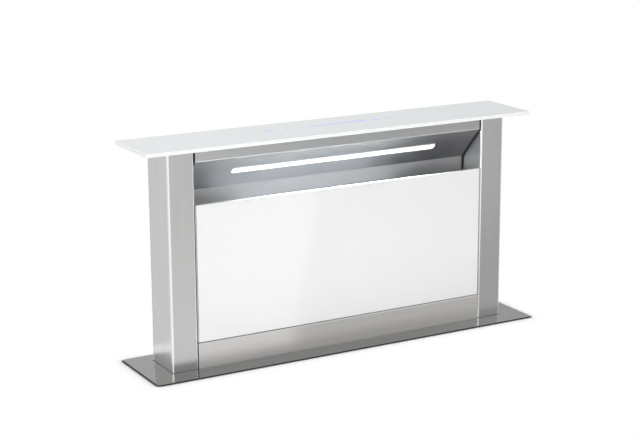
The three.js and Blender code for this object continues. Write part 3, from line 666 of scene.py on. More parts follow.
flatter = add(pressing, "ShaderNodeCombineXYZ", {"X": 1.0, "Y": 1.0, "Z": share.outputs[0]})
flat = add(pressing, "GeometryNodeTransform", {
    "Geometry": whole.outputs[0], "Scale": flatter.outputs[0],
})
spread = add(pressing, "GeometryNodeInstanceOnPoints", {
    "Points": given["Geometry"], "Instance": flat.outputs[0], "Rotation": turned_to_place(pressing),
})
closed(pressing, spread.outputs[0], given["Finish"])

# Zinc glints crystal by crystal. The rivets' plain aluminium is even and brighter.
casing_zinc = galvanised("hot-dip galvanised sheet, casing", "#c2c5c8", "#9a9ea2", 0.38)
rivet_aluminium = brushed("aluminium, blind rivets", "#c9cacb", "#b4b5b7", 0.35, (2, 2, 2))
casing_low, casing_high = span("casing_front")[0], span("casing_rear")[1]
eye_radius, eye_height, through = 75, 80, 9
blower_eye = Vector((0, casing_low.y, casing_low.z + eye_height))
low, high = span("casing_front")
front_wall = cut_away(block(low, high),
                      rod(eye_radius, "y", blower_eye, low.y - through, low.y + through, 0, 72))
fitted("casing_front_wall", front_wall, "casing", "galvanised_steel", ["casing_front"], casing_zinc)
for name in ("casing_rear", "casing_left", "casing_right"):
    fitted(f"{name}_wall", block(*span(name)), "casing", "galvanised_steel", [name], casing_zinc)
as_drawn("casing_floor", casing_zinc)

front_beads = [((60, casing_low.y, z), (0, -1, 0), (1, 0, 0)) for z in (-110, -180, -250, -320)]
rear_beads = [((0, casing_high.y, z), (0, 1, 0), (1, 0, 0)) for z in (-90, -170, -250, -330, -410)]
on_places("casing_pressed_beads", pressing, front_beads + rear_beads, "casing", "galvanised_steel",
          Length=0.36, Width=0.014, Rise=0.0024, Finish=casing_zinc)

# The control box covers three of the rivets down the front's left edge.
rail_heights = [-40 - 60 * k for k in range(9)]
corner_heights = [-35 - 65 * k for k in range(9)]
covered = corner_heights[1:4]
rail_y, side_inset_y, front_inset_x = 4.5, 42, 268
rivets = []
for side in (-1, 1):
    x = side * casing_high.x
    rivets += [((x, rail_y, z), (side, 0, 0), (0, 0, 1)) for z in rail_heights]
    rivets += [((x, y, z), (side, 0, 0), (0, 0, 1)) for z in corner_heights
               for y in (-side_inset_y, side_inset_y)]
    rivets += [((side * front_inset_x, y, z), (0, math.copysign(1, y), 0), (0, 0, 1))
               for z in corner_heights for y in (casing_low.y, casing_high.y)
               if y > 0 or side > 0 or z not in covered]
on_places("casing_rivets", fastener, rivets, "casing", "aluminium",
          Radius=0.0032, Rise=0.0011, Socket=0.0009, Finish=rivet_aluminium)


# ---------------------------------------------------------------- guide rails
# A C-shaped aluminium extrusion inside each side wall, which the tower's shoe slides in. It keeps the
# fine lines of its die along its length.
def folded(path, thickness, bend, axis, start, stop, lip=0.4, shining=()):
    """A folded sheet in mm: the path, and the same path to the left of its run (to the right if
    thickness is negative), with an inside radius at each bend, pushed along an axis from start to
    stop. Faces of its free edges, and of the bends named as shining, get the second material."""
    points = [Vector(p) for p in path]
    size, hand = abs(thickness), math.copysign(1, thickness)
    runs = [(b - a).normalized() for a, b in zip(points, points[1:])]
    lefts = [Vector((-r.y, r.x)) * hand for r in runs]
    near, far = [], []
    for i, point in enumerate(points):
        first, last = lefts[max(i - 1, 0)], lefts[min(i, len(lefts) - 1)]
        shift = point + (first + last) * size / (1 + first.dot(last))
        radius, other = lip, lip
        if 0 < i < len(points) - 1:
            turns = runs[i - 1].x * runs[i].y - runs[i - 1].y * runs[i].x
            radius, other = (bend + size, bend) if turns * hand > 0 else (bend, bend + size)
        near.append((point.x, point.y, radius))
        far.append((shift.x, shift.y, other))
    steps, count = 5, len(points)
    outline = rounded(near + far[::-1], steps)
    free = {count * (steps + 1) - 1, len(outline) - 1}
    for corner in (0, count - 1, count, 2 * count - 1, *shining):
        free.update(range(corner * (steps + 1), (corner + 1) * (steps + 1) - 1))
    return pushed(outline, axis, start, stop, free)


def pushed(outline, axis, start, stop, free=()):
    """A closed outline pushed along an axis: (u, v) is (y, z) along x, (x, z) along y, (x, y) along z.
    The strips that start at the free points get the second material, and so do the ends beside them."""
    place = {
        "x": lambda u, v, w: (w, u, v),
        "y": lambda u, v, w: (u, w, v),
        "z": lambda u, v, w: (u, v, w),
    }
    shape = bmesh.new()
    rings = [[shape.verts.new(place[axis](u, v, w)) for u, v in outline] for w in (start, stop)]
    count = len(outline)
    for i in range(count):
        j = (i + 1) % count
        face = shape.faces.new((rings[0][i], rings[0][j], rings[1][j], rings[1][i]))
        face.material_index = 1 if i in free else 0
    for ends_ring in rings:
        shape.faces.new(ends_ring).material_index = 1 if free else 0
    return shape


# Die lines along the rail spread its highlight sideways.
rail_aluminium = brushed("extruded aluminium, guide rails", "#cfd0d1", "#bcbdbf", 0.32, (0.4, 0.4, 90))
rail_wall, rail_bend = 1.5, 0.5
for side, name in ((-1, "left"), (1, "right")):
    low, high = span(f"guide_rail_{name}")
    web, lips = (low.x, high.x) if side < 0 else (high.x, low.x)
    rail = folded([(lips, high.y), (web, high.y), (web, low.y), (lips, low.y)],
                  -side * rail_wall, rail_bend, "z", low.z, high.z)
    fitted(f"guide_rail_{name}_channel", rail, "casing", "aluminium", [f"guide_rail_{name}"],
           rail_aluminium, rail_aluminium)


# ---------------------------------------------------------------- lift drive
# A motor and its gearbox turn the left lift screw, and a toothed belt in a galvanised tray under the
# casing turns the right one with it. The screws are rolled with four starts, for a lead of 20 mm.
def middle_of(node):
    """A CAD node's middle, in mm."""
    low, high = span(node)
    return (low + high) / 2


tray_zinc = galvanised("hot-dip galvanised sheet, drive tray", "#bfc2c5", "#989ca0", 0.4)
low, high = span("drive_tray")
screw_x, screw_y = middle_of("lift_screw_right").xy
screw_bore, tray_sheet, tray_bend = 6.6, 1.2, 1.5
tray = folded([(high.y, high.z), (high.y, low.z), (low.y, low.z), (low.y, high.z)],
              -tray_sheet, tray_bend, "x", low.x, high.x)
tray = cut_away(tray, rod(screw_bore, "z", (-screw_x, screw_y, 0), low.z - 4, low.z + 6, 0, 32))
fitted("drive_tray_pan", tray, "casing", "galvanised_steel", ["drive_tray"], tray_zinc, tray_zinc)
tray_screws = [((x, y, high.z - 9), (0, math.copysign(1, y), 0), (0, 0, 1))
               for x in (-250, -150, -50, 50, 150, 250) for y in (low.y, high.y)]
# Bright zinc plating leaves small heads shiny, with no lines.
machine_steel = brushed("zinc-plated steel, screw heads", "#c6c8ca", "#a9acaf", 0.28, (1, 1, 1))
on_places("drive_tray_screws", fastener, tray_screws, "casing", "screw_steel",
          Radius=0.0042, Rise=0.0022, Socket=0.0016, Finish=machine_steel)
on_places("drive_tray_beads", pressing, [
    ((x, y, (low.z + high.z) / 2 - 6), (0, math.copysign(1, y), 0), (1, 0, 0))
    for x in (-130, 130) for y in (low.y, high.y)
], "casing", "galvanised_steel", Length=0.2, Width=0.01, Rise=0.0012, Finish=tray_zinc)

# Cast zinc is dull and even, turned aluminium glints in rings, and rolled steel is smooth and darker.
bearing_zinc = brushed("die-cast zinc, bearing housings", "#b4b6b8", "#9fa1a4", 0.42, (3, 3, 3))
pulley_aluminium = brushed("turned aluminium, pulleys", "#d0d1d2", "#bbbdbf", 0.26, (60, 60, 0.35))
screw_finish = brushed("rolled steel, lift screws", "#a3a5a8", "#83868a", 0.24, (60, 60, 0.6))
grooves, belt_side, groove_floor, rim_radius, rim_thickness = 20, 18, 16.3, 21.5, 1.2
lead, starts, screw_radius, thread_depth, chamfer, plain_end = 20, 4, 6, 0.9, 0.8, 34
pitch, steps = lead / starts, 32
for side, name in ((-1, "left"), (1, "right")):
    centre = (side * screw_x, screw_y, 0)
    low, high = span(f"screw_bearing_{name}")
    bearing = turned(rounded([
        (6.5, low.z, 0), (17, low.z, 0.4), (17, low.z + 3.5, 0.6), (12.5, low.z + 4.5, 0.8),
        (12, high.z, 0.8), (6.5, high.z, 0.4),
    ], 3), "z", centre)
    fitted(f"screw_bearing_{name}_housing", bearing, "casing", "galvanised_steel",
           [f"screw_bearing_{name}"], bearing_zinc)

    low, high = span(f"lift_pulley_{name}")
    toothed = []
    for k in range(grooves):
        middle = side * -math.pi / 2 + math.tau * k / grooves
        for share, radius in ((-0.5, belt_side), (-0.22, belt_side), (-0.14, groove_floor),
                              (0.14, groove_floor), (0.22, belt_side)):
            angle = middle + math.pi / grooves + share * math.tau / grooves
            toothed.append((centre[0] + radius * math.cos(angle), centre[1] + radius * math.sin(angle)))
    body = plate_between([toothed, ring(screw_bore, 32, centre[0], centre[1])],
                         low.z + 0.5, high.z - 0.5, 0.1)
    rims = [turned(rounded([
        (screw_bore, foot, 0), (rim_radius, foot, 0.3), (rim_radius, foot + rim_thickness, 0.3),
        (screw_bore, foot + rim_thickness, 0),
    ], 3), "z", centre) for foot in (low.z, high.z - rim_thickness)]
    fitted(f"lift_pulley_{name}_wheel", together(body, *rims), f"{name}_screw", "aluminium",
           [f"lift_pulley_{name}"], pulley_aluminium)

    low, high = span(f"lift_screw_{name}")
    thread = bmesh.new()
    levels = [low.z, low.z + chamfer, low.z + plain_end]
    levels += [low.z + plain_end + 1 + k for k in range(int(high.z - low.z - plain_end - 4))]
    levels += [high.z - 1, high.z]
    last = None
    for number, z in enumerate(levels):
        threaded = 2 < number < len(levels) - 2
        circle = []
        for k in range(steps):
            angle = math.tau * k / steps
            phase = (starts * angle / math.tau - z / pitch) % 1
            depth = thread_depth * min(1, max(0, 2.2 - abs(phase - 0.5) * 6)) if threaded else 0
            radius = screw_radius - depth - (chamfer if number in (0, len(levels) - 1) else 0)
            circle.append(thread.verts.new((centre[0] + radius * math.cos(angle),
                                            centre[1] + radius * math.sin(angle), z)))
        if last:
            for k in range(steps):
                thread.faces.new((last[k], last[(k + 1) % steps], circle[(k + 1) % steps], circle[k]))
        if number in (0, len(levels) - 1):
            thread.faces.new(circle)
        last = circle
    fitted(f"lift_screw_{name}_spindle", thread, f"{name}_screw", "screw_steel",
           [f"lift_screw_{name}"], screw_finish)

belting, given = new_tree("belt teeth", Count="Int", Size="Vector")
path = add(belting, "GeometryNodeMeshToCurve", {"Mesh": given["Geometry"]})
even = add(belting, "GeometryNodeCurveToPoints", {
    "Curve": path.outputs[0], "Count": given["Count"],
}, mode="COUNT")
tooth = add(belting, "GeometryNodeMeshCube", {"Size": given["Size"]})
follow = add(belting, "FunctionNodeAlignRotationToVector", {"Vector": even.outputs["Tangent"]},
             axis="X", pivot_axis="Z")
spread = add(belting, "GeometryNodeInstanceOnPoints", {
    "Points": even.outputs["Points"], "Instance": tooth.outputs["Mesh"], "Rotation": follow.outputs[0],
})
closed(belting, spread.outputs[0], given["Finish"])


def belt_loop(radius, steps=24):
    """The belt's run round both pulleys, from the right one's front."""
    loop = []
    for side, start in ((1, -math.pi / 2), (-1, math.pi / 2)):
        for k in range(steps + 1):
            angle = start + math.pi * k / steps
            loop.append((side * screw_x + radius * math.cos(angle), screw_y + radius * math.sin(angle)))
    return loop


# Neoprene is nearly black and matt.
belt_rubber = moulded("neoprene, toothed belt", "#262628", "#1c1c1e", 0.6, 0.6)
low, high = span("drive_belt")
belt_back, belt_face, teeth_middle = 20.3, 18.3, 17.8
belt = plate_between([belt_loop(belt_back), belt_loop(belt_face)], low.z, high.z)
fitted("drive_belt_band", belt, "casing", "rubber", ["drive_belt"], belt_rubber)
loop = belt_loop(teeth_middle)
mesh = bpy.data.meshes.new("belt_teeth")
mesh.from_pydata([(u / 1000, v / 1000, (low.z + high.z) / 2000) for u, v in loop],
                 [(i, (i + 1) % len(loop)) for i in range(len(loop))], [])
fitted("drive_belt_teeth", grown("drive_belt_teeth", mesh, belting, Count=190,
                                 Size=(0.0023, 0.0012, 0.0094), Finish=belt_rubber),
       "casing", "rubber", [])

# Glass-filled nylon is a dull blue-grey.
gearbox_grey = moulded("glass-filled nylon, gearbox", "#63666a", "#575a5e", 0.5, 0.8)
low, high = span("lift_gearbox")
socket_depth = 14.6
gearbox = cut_away(
    block(low, high, 2.5),
    rod(screw_bore, "z", (-screw_x, screw_y, 0), high.z - socket_depth, high.z + 3, 0, 32),
)
fitted("lift_gearbox_housing", gearbox, "casing", "grey_plastic", ["lift_gearbox"], gearbox_grey)
ribs = [((x, y, (low.z + high.z) / 2), (0, math.copysign(1, y), 0), (0, 0, 1))
        for x in (-266, -255, -244.5, -234, -223) for y in (low.y, high.y)]
ribs += [((x, y, (low.z + high.z) / 2), (math.copysign(1, x - -screw_x), 0, 0), (0, 0, 1))
         for x in (low.x, high.x) for y in (-13, -2, 11, 22)]
on_places("lift_gearbox_ribs", pressing, ribs, "casing", "grey_plastic",
          Length=0.03, Width=0.0026, Rise=0.0012, Finish=gearbox_grey)
on_places("lift_gearbox_screws", fastener, [
    ((x, y, low.z), (0, 0, -1), (1, 0, 0))
    for x in (low.x + 6, high.x - 6) for y in (low.y + 6, high.y - 6)
], "casing", "screw_steel", Radius=0.0035, Rise=0.0024, Socket=0.0015, Finish=machine_steel)
# The drawn can is smooth, with faint rings from the die, and mirrors softly.
motor_steel = brushed("drawn steel can, lift motor", "#a9acaf", "#8f9296", 0.3, (60, 60, 0.5))
low, high = span("lift_motor")
motor = turned(rounded([
    (0, high.z, 0), (22, high.z, 0.5), (22, high.z - 4, 0.5), (20.8, high.z - 5.5, 0.6),
    (20.8, low.z + 9, 0.6), (21.6, low.z + 8, 0.5), (21.6, low.z + 3, 1.2), (9, low.z + 3, 0.8),
    (8.4, low.z, 0.6), (0, low.z, 0),
], 3), "z", (-screw_x, screw_y, 0), 64)
fitted("lift_motor_can", motor, "casing", "screw_steel", ["lift_motor"], motor_steel)


# ---------------------------------------------------------------- blower
# A drum fan in a housing of galvanised sheet, bolted to the casing's front. Its black wheel turns
# between the moulded inlet ring and the motor, and a rolled scroll leads the air to the outlet.
def hollow(low, high, wall, front, back, edge=0):
    """What is cut out of a box between two depths along y, leaving a wall at its other four sides."""
    return block((low.x + wall, front, low.z + wall), (high.x - wall, back, high.z - wall), edge)


blower_zinc = galvanised("hot-dip galvanised sheet, blower", "#c5c8cb", "#a0a4a8", 0.36)
low, high = span("blower_housing")
cover_low, cover_high = span("blower_cover")
blower_sheet, duct_radius = 1.2, 73
outlet_y, outlet_z = middle_of("outlet_collar").yz
shell = cut_away(
    block(low, high, 1.8),
    hollow(low, high, blower_sheet, low.y - through, high.y - blower_sheet),
    rod(eye_radius, "y", blower_eye, high.y - through, high.y + through, 0, 72),
    rod(duct_radius, "x", (0, outlet_y, outlet_z), high.x - through, high.x + through, 0, 72),
)
fitted("blower_housing_shell", shell, "casing", "galvanised_steel", ["blower_housing"], blower_zinc)
as_drawn("scroll_wall", blower_zinc)
lid = together(
    block(cover_low, cover_high),
    turned(rounded([(62, cover_low.y + 0.6, 0), (62, cover_low.y - 1.8, 1.2),
                    (54, cover_low.y - 1.8, 1.2), (54, cover_low.y + 0.6, 0)], 4), "y", blower_eye, 72),
    turned(rounded([(0, cover_low.y + 0.6, 0), (0, cover_low.y - 2.2, 0), (30, cover_low.y - 2.2, 1.8),
                    (32, cover_low.y + 0.6, 0)], 4), "y", blower_eye, 64),
)
fitted("blower_cover_plate", lid, "casing", "galvanised_steel", ["blower_cover"], blower_zinc)
beads = [((x, cover_low.y, blower_eye.z), (0, -1, 0), (0, 0, 1)) for x in (-118, -98, 98, 118)]
middle_y = (low.y + high.y) / 2
beads += [((x, middle_y, z), (0, 0, math.copysign(1, z - blower_eye.z)), (0, 1, 0))
          for x in (-110, 0, 110) for z in (low.z, high.z)]
beads += [((low.x, middle_y + aside, blower_eye.z), (-1, 0, 0), (0, 0, 1)) for aside in (-45, 0, 45)]
on_places("blower_pressed_beads", pressing, beads, "casing", "galvanised_steel",
          Length=0.13, Width=0.01, Rise=0.0016, Finish=blower_zinc)
screws = [((x, cover_low.y, z), (0, -1, 0), (1, 0, 0)) for x in (-143, -71, 0, 71, 143)
          for z in (low.z + 7, high.z - 7)]
screws += [((x, cover_low.y, z), (0, -1, 0), (1, 0, 0)) for x in (-143, 143)
           for z in (low.z + 70, blower_eye.z, high.z - 70)]
motor_circle = 44
screws += [((u, cover_low.y, blower_eye.z + v), (0, -1, 0), (1, 0, 0))
           for v, u in ring(motor_circle, 3)]
on_places("blower_cover_screws", fastener, screws, "casing", "screw_steel",
          Radius=0.004, Rise=0.0023, Socket=0.0016, Finish=machine_steel)

# Moulded ABS is black with an even half gloss.
fan_black = moulded("black ABS, inlet ring and fan wheel", "#2a2b2e", "#222326", 0.42, 0.7)
low, high = span("inlet_ring")
mouth = turned(rounded([
    (70, low.y, 0.3), (71.2, low.y, 0.3), (73.2, high.y - 8, 2), (83, high.y - 1.4, 2.5),
    (83, high.y, 0.3), (75.5, high.y, 3), (70, high.y - 8, 4),
], 5), "y", blower_eye, 72)
fitted("inlet_ring_mouth", mouth, "casing", "black_plastic", ["inlet_ring"], fan_black)

bladed, given = new_tree("blades round the fan wheel", Count="Int", Centre="Vector")
points = add(bladed, "GeometryNodeMeshLine", {
    "Count": given["Count"], "Start Location": given["Centre"], "Offset": (0, 0, 0),
})
index = add(bladed, "GeometryNodeInputIndex").outputs[0]
share = add(bladed, "ShaderNodeMath", {0: index, 1: given["Count"]}, operation="DIVIDE")
angle = add(bladed, "ShaderNodeMath", {0: share.outputs[0], 1: math.tau}, operation="MULTIPLY")
about = add(bladed, "FunctionNodeAxisAngleToRotation", {"Axis": (0, 1, 0), "Angle": angle.outputs[0]})
spread = add(bladed, "GeometryNodeInstanceOnPoints", {
    "Points": points.outputs[0], "Instance": given["Geometry"], "Rotation": about.outputs[0],
})
closed(bladed, spread.outputs[0], given["Finish"])

low, high = span("impeller")
wheel_inner, wheel_outer, blade_count, blade_thickness = 73, 85, 28, 1.3
sweep, bow = math.radians(7), math.radians(3.5)
blade_path = []
for k in range(7):
    share = k / 6
    radius = wheel_inner + (wheel_outer - wheel_inner) * share
    swing = sweep * share + bow * share * (1 - share)
    blade_path.append((radius * math.cos(swing), radius * math.sin(swing)))
blade = folded(blade_path, blade_thickness, 0, "y", low.y + 1, high.y - 1, 0.3)
blades = grown("fan_wheel_blades", meshed("blade", blade), bladed, Count=blade_count,
               Centre=(0, 0, blower_eye.z / 1000), Finish=fan_black)
fitted("fan_wheel_blades", blades, "fan_wheel", "black_plastic", [])
hub = together(
    turned(rounded([(4.4, low.y, 0), (wheel_outer, low.y, 0.5), (wheel_outer, low.y + 2, 0.5),
                    (16, low.y + 2, 1.5), (14, low.y + 17, 0.8), (4.4, low.y + 17, 0)], 4),
           "y", blower_eye, 72),
    turned(rounded([(wheel_inner, high.y - 2, 0.4), (wheel_outer, high.y - 2, 0.4),
                    (wheel_outer, high.y, 0.4), (wheel_inner, high.y, 0.4)], 3), "y", blower_eye, 72),
)
fitted("fan_wheel_hub", hub, "fan_wheel", "black_plastic", ["impeller"], fan_black)

low, high = span("fan_motor")
discs = turned(rounded([
    (0, low.y, 0), (42, low.y, 0.8), (42, low.y + 6, 0.6), (40, low.y + 7.5, 0.6),
    (40, low.y + 27, 0.6), (42, low.y + 28.5, 0.6), (42, low.y + 36, 2.5), (16, low.y + 37.2, 1.0),
    (4, low.y + 37.2, 0), (4, high.y, 0.5), (0, high.y, 0),
], 3), "y", blower_eye, 64)
fitted("fan_motor_can", discs, "casing", "screw_steel", ["fan_motor"], motor_steel)


# ---------------------------------------------------------------- outlet collar and flaps
# A black moulded spigot for a round duct, screwed to the blower's side, with two half-round aluminium
# flaps on one upright pin that fall shut when the fan stops.
# Moulded ABS again, a shade lighter. The flaps' rolled sheet keeps faint upright lines.
collar_black = moulded("black ABS, outlet collar", "#2d2e31", "#242528", 0.45, 0.7)
low, high = span("outlet_collar")
middle = (0, outlet_y, outlet_z)
pin_radius, pin_inset, pin_half = 2, 12, duct_radius + 0.6
collar = together(
    turned(rounded([
        (duct_radius, low.x, 0.3), (85.5, low.x, 0.4), (85.5, low.x + 2.4, 0.8),
        (75.6, low.x + 2.6, 1.4), (74.5, low.x + 7, 0.8), (74.5, high.x - 9, 0.6),
        (75.4, high.x - 8, 0.6), (75.4, high.x - 6.5, 0.6), (74.5, high.x - 5.5, 0.6),
        (74.2, high.x, 0.6), (duct_radius, high.x, 0.4),
    ], 4), "x", middle, 96),
    rod(pin_radius, "z", (low.x + pin_inset, outlet_y, 0), outlet_z - pin_half, outlet_z + pin_half,
        0, 24),
)
fitted("outlet_collar_spigot", collar, "casing", "black_plastic", ["outlet_collar"], collar_black)
screw_circle = 80.5
on_places("outlet_collar_screws", fastener, [
    ((low.x + 2.2, outlet_y + screw_circle * math.cos(a), outlet_z + screw_circle * math.sin(a)),
     (1, 0, 0), (0, 0, 1)) for a in (math.tau * (k + 0.5) / 6 for k in range(6))
], "casing", "screw_steel", Radius=0.0034, Rise=0.002, Socket=0.0014, Finish=machine_steel)
flap_aluminium = brushed("rolled aluminium sheet, flaps", "#cbccce", "#b7b8bb", 0.34, (0.4, 0.4, 60))
for node in ("flap_front", "flap_rear"):
    as_drawn(node, flap_aluminium)


# ---------------------------------------------------------------- control box and mains gland
# A grey moulded box screwed to the casing's front holds the electronics. Its cover is louvred to let
# the heat out, and the mains lead would come in through the gland under it.
# Satin ABS, with the cover a shade lighter than its box.
box_grey = moulded("grey ABS, control box", "#797c80", "#707377", 0.5, 0.7)
cover_grey = moulded("grey ABS, control cover", "#808387", "#777a7e", 0.46, 0.7)
low, high = span("control_box")
box_wall = 2
box = cut_away(block(low, high, 2.5), hollow(low, high, box_wall, low.y - through, high.y - box_wall))
fitted("control_box_shell", box, "casing", "grey_plastic", ["control_box"], box_grey)
cover_low, cover_high = span("control_cover")
groove_inset, groove_width, groove_depth = 7, 2, 0.7
groove = cut_away(
    hollow(cover_low, cover_high, groove_inset, cover_low.y - 5, cover_low.y + groove_depth, 0.3),
    hollow(cover_low, cover_high, groove_inset + groove_width, cover_low.y - 6, cover_low.y + 2),
)
face = cut_away(block(cover_low, cover_high, 1.4), groove)
fitted("control_cover_face", face, "casing", "grey_plastic", ["control_cover"], cover_grey)
centre_x = (cover_low.x + cover_high.x) / 2
on_places("control_cover_louvres", pressing, [
    ((centre_x + dx, cover_low.y, cover_high.z - 28 - 8 * k), (0, -1, 0), (1, 0, 0))
    for k in range(7) for dx in (-20, 20)
], "casing", "grey_plastic", Length=0.034, Width=0.0042, Rise=0.0016, Finish=cover_grey)
on_places("control_cover_screws", fastener, [
    ((x, cover_low.y, z), (0, -1, 0), (1, 0, 0)) for x in (cover_low.x + 4.6, cover_high.x - 4.6)
    for z in (cover_low.z + 4.6, cover_high.z - 4.6)
], "casing", "screw_steel", Radius=0.0026, Rise=0.0014, Socket=0.0011, Finish=machine_steel)
# Polyamide is black and a little duller than the fan's ABS.
gland_black = moulded("black polyamide, mains gland", "#28292b", "#1f2022", 0.5, 0.6)
low, high = span("mains_gland")
middle = middle_of("mains_gland")
bore, across_corners = 3.6, 8.9
nut = plate_between([ring(across_corners, 6, middle.x, middle.y), ring(bore, 24, middle.x, middle.y)],
                    high.z - 5.1, high.z - 0.1, 0.5)
gland = together(nut, turned(rounded([
    (bore, high.z - 4, 0), (8, high.z - 5, 0.3), (8.4, high.z - 7, 0.4), (8.4, low.z + 5, 1.2),
    (6, low.z, 1.4), (bore, low.z, 0.5),
], 4), "z", middle, 32))
fitted("mains_gland_body", gland, "casing", "black_plastic", ["mains_gland"], gland_black)


# ---------------------------------------------------------------- support legs
# Two feet of 3 mm galvanised strip bolted low on the casing's back take its weight to the floor of the
# cabinet. Slots let them be set to the right height.
# The strip's zinc is duller than the sheet's, with smaller crystals.
leg_zinc = galvanised("hot-dip galvanised strip, legs", "#b9bcbf", "#94989c", 0.42, 7)
strip, slot_half = 3, 3.2
bolts = []
for name in ("left", "right"):
    low, high = span(f"support_leg_{name}")
    casing_back = low.y
    leg = folded([(high.y, low.z), (casing_back, low.z), (casing_back, high.z)],
                 -strip, strip, "x", low.x, high.x)
    middle_x = (low.x + high.x) / 2
    slots = []
    for axis, surface_at, slot_start, slot_end in (
        ("y", casing_back, high.z - 45, high.z - 15), ("y", casing_back, high.z - 100, high.z - 70),
        ("y", casing_back, high.z - 190, high.z - 130), ("z", low.z, high.y - 24, high.y - 8),
    ):
        slot = rectangle(middle_x - slot_half, middle_x + slot_half, slot_start, slot_end,
                         slot_half - 0.01)
        slots.append(pushed(slot, axis, surface_at - 5, surface_at + 9))
    fitted(f"support_leg_{name}_strip", cut_away(leg, *slots), "casing", "galvanised_steel",
           [f"support_leg_{name}"], leg_zinc, leg_zinc)
    bolts += [((middle_x, casing_back + strip, z), (0, 1, 0), (1, 0, 0))
              for z in (high.z - 30, high.z - 85)]
on_places("support_leg_bolts", fastener, bolts, "casing", "screw_steel",
          Radius=0.0065, Rise=0.004, Socket=0.0024, Finish=machine_steel)


# ---------------------------------------------------------------- tower posts and side covers
# Each post is a channel folded from 1.2 mm stainless, brushed upright and open to the outside, where a
# folded cover closes it. The channel's front leg ends in a round hem beside the cover's dark seam.
# Upright lines spread each highlight sideways. The covers' steel is painted lighter than the channels',
# as light on the sides, and the hem, the free edges, the ends and the inner front bend are painted
# nearly white, a painted highlight.
post_steel = brushed("brushed stainless, posts", "#c6c6c5", "#c1c1c0", 0.28, (1.0, 1.0, 160),
                     broad=(14, 14, 900))
cover_steel = brushed("brushed stainless, side covers", "#e2e2e1", "#dedddc", 0.28, (1.0, 1.0, 160),
                      broad=(14, 14, 900))
painted_highlight_steel = brushed("stainless edge, painted highlight", "#fbfbfa", "#f5f5f4", 0.25, (1.0, 1.0, 60))
sheet, bend, hem_radius, hem_lip, seam = 1.2, 0.8, 1.25, 0.58, 1.4
for side, name in ((-1, "left"), (1, "right")):
    low, high = span(f"{name}_post")
    inner, outer = (high.x, low.x) if side < 0 else (low.x, high.x)
    channel = folded([(outer, high.y), (inner, high.y), (inner, low.y), (outer - side * sheet, low.y)],
                     side * sheet, bend, "z", low.z, high.z, hem_lip, shining=(2,))
    hem_at = (outer - side * hem_radius, low.y + hem_radius, 0)
    hem = rod(hem_radius, "z", hem_at, low.z, high.z, 0.2, 32)
    for face in hem.faces:
        face.material_index = 1
    channel = together(channel, hem)
    fitted(f"{name}_post_channel", channel, "tower", "brushed_stainless", [f"{name}_post"],
           post_steel, painted_highlight_steel)
    low, high = span(f"{name}_side_cover")
    inner, outer = (high.x, low.x) if side < 0 else (low.x, high.x)
    cover = folded([(inner, low.y + seam), (outer, low.y + seam), (outer, high.y), (inner, high.y)],
                   side * sheet, bend, "z", low.z, high.z)
    fitted(f"{name}_cover_sheet", cover, "tower", "brushed_stainless", [f"{name}_side_cover"],
           cover_steel, cover_steel)


# ---------------------------------------------------------------- feet, lift nuts and guide shoes
# A die-cast foot closes each post's lower end and holds the bronze nut that its lift screw turns in. A
# white nylon shoe on the post's side runs in the guide rail.
# Cast zinc is dull, turned bronze glints in warm rings, and nylon is a soft ivory.
foot_zinc = brushed("die-cast zinc, post feet", "#adafb2", "#96999c", 0.45, (3, 3, 3))
nut_bronze = brushed("turned bronze, lift nuts", "#b98f4e", "#9c763b", 0.3, (60, 60, 0.4))
shoe_nylon = moulded("white nylon, guide shoes", "#e6e4dc", "#dcdad1", 0.5, 0.8)
for side, name in ((-1, "left"), (1, "right")):
    centre = (side * screw_x, screw_y, 0)
    low, high = span(f"lift_nut_{name}")
    nut = turned(rounded([
        (6.5, low.z, 0.3), (13, low.z, 0.6), (13, low.z + 4, 0.4), (9, low.z + 4, 0.3),
        (9, high.z, 0.8), (6.5, high.z, 0.4),
    ], 3), "z", centre)
    fitted(f"lift_nut_{name}_body", nut, "tower", "bronze", [f"lift_nut_{name}"], nut_bronze)
    fitted(f"guide_shoe_{name}_block", block(*span(f"guide_shoe_{name}"), 1.4), "tower", "nylon",
           [f"guide_shoe_{name}"], shoe_nylon)
    as_drawn(f"post_foot_{name}", foot_zinc)


# ---------------------------------------------------------------- rear panel, cross bar and kick panel
# Stainless sheets close the tower between its posts: the whole back, held by countersunk screws, and
# the strip under the glass, brushed along its length. A galvanised bar ties the posts' feet together.
# The strip's lines run level and spread light up and down; the back's run upright.
kick_steel = brushed("brushed stainless, kick panel", "#dcdad8", "#d5d3d1", 0.34, (160, 1.0, 1.0),
                     broad=(900, 14, 14))
rear_steel = brushed("brushed stainless, rear panel", "#c4c4c3", "#c0c0bf", 0.32, (1.2, 1.2, 160),
                     broad=(30, 30, 900))
low, high = span("kick_panel")
top_return = 2.2
kick = folded([(low.y + top_return, high.z), (low.y, high.z), (low.y, low.z)],
              sheet, bend, "x", low.x, high.x)
# Its free edges and ends are painted nearly white, a painted highlight.
fitted("kick_panel_sheet", kick, "tower", "brushed_stainless", ["kick_panel"], kick_steel, painted_highlight_steel)
low, high = span("rear_panel")
fitted("rear_panel_sheet", block(low, high, 0.35), "tower", "brushed_stainless", ["rear_panel"],
       rear_steel)
inset, sunk = 8, 0.4
rear_places = [(x, z) for x in (low.x + inset, high.x - inset) for z in (12, 80, 148, 216, 284)]
rear_places += [(x, 290) for x in (-110, 0, 110)]
on_places("rear_panel_screws", fastener, [
    ((x, high.y - sunk, z), (0, 1, 0), (1, 0, 0)) for x, z in rear_places
], "tower", "screw_steel", Radius=0.0036, Rise=0.0008, Socket=0.0013, Finish=machine_steel)
as_drawn("cross_bar", casing_zinc)


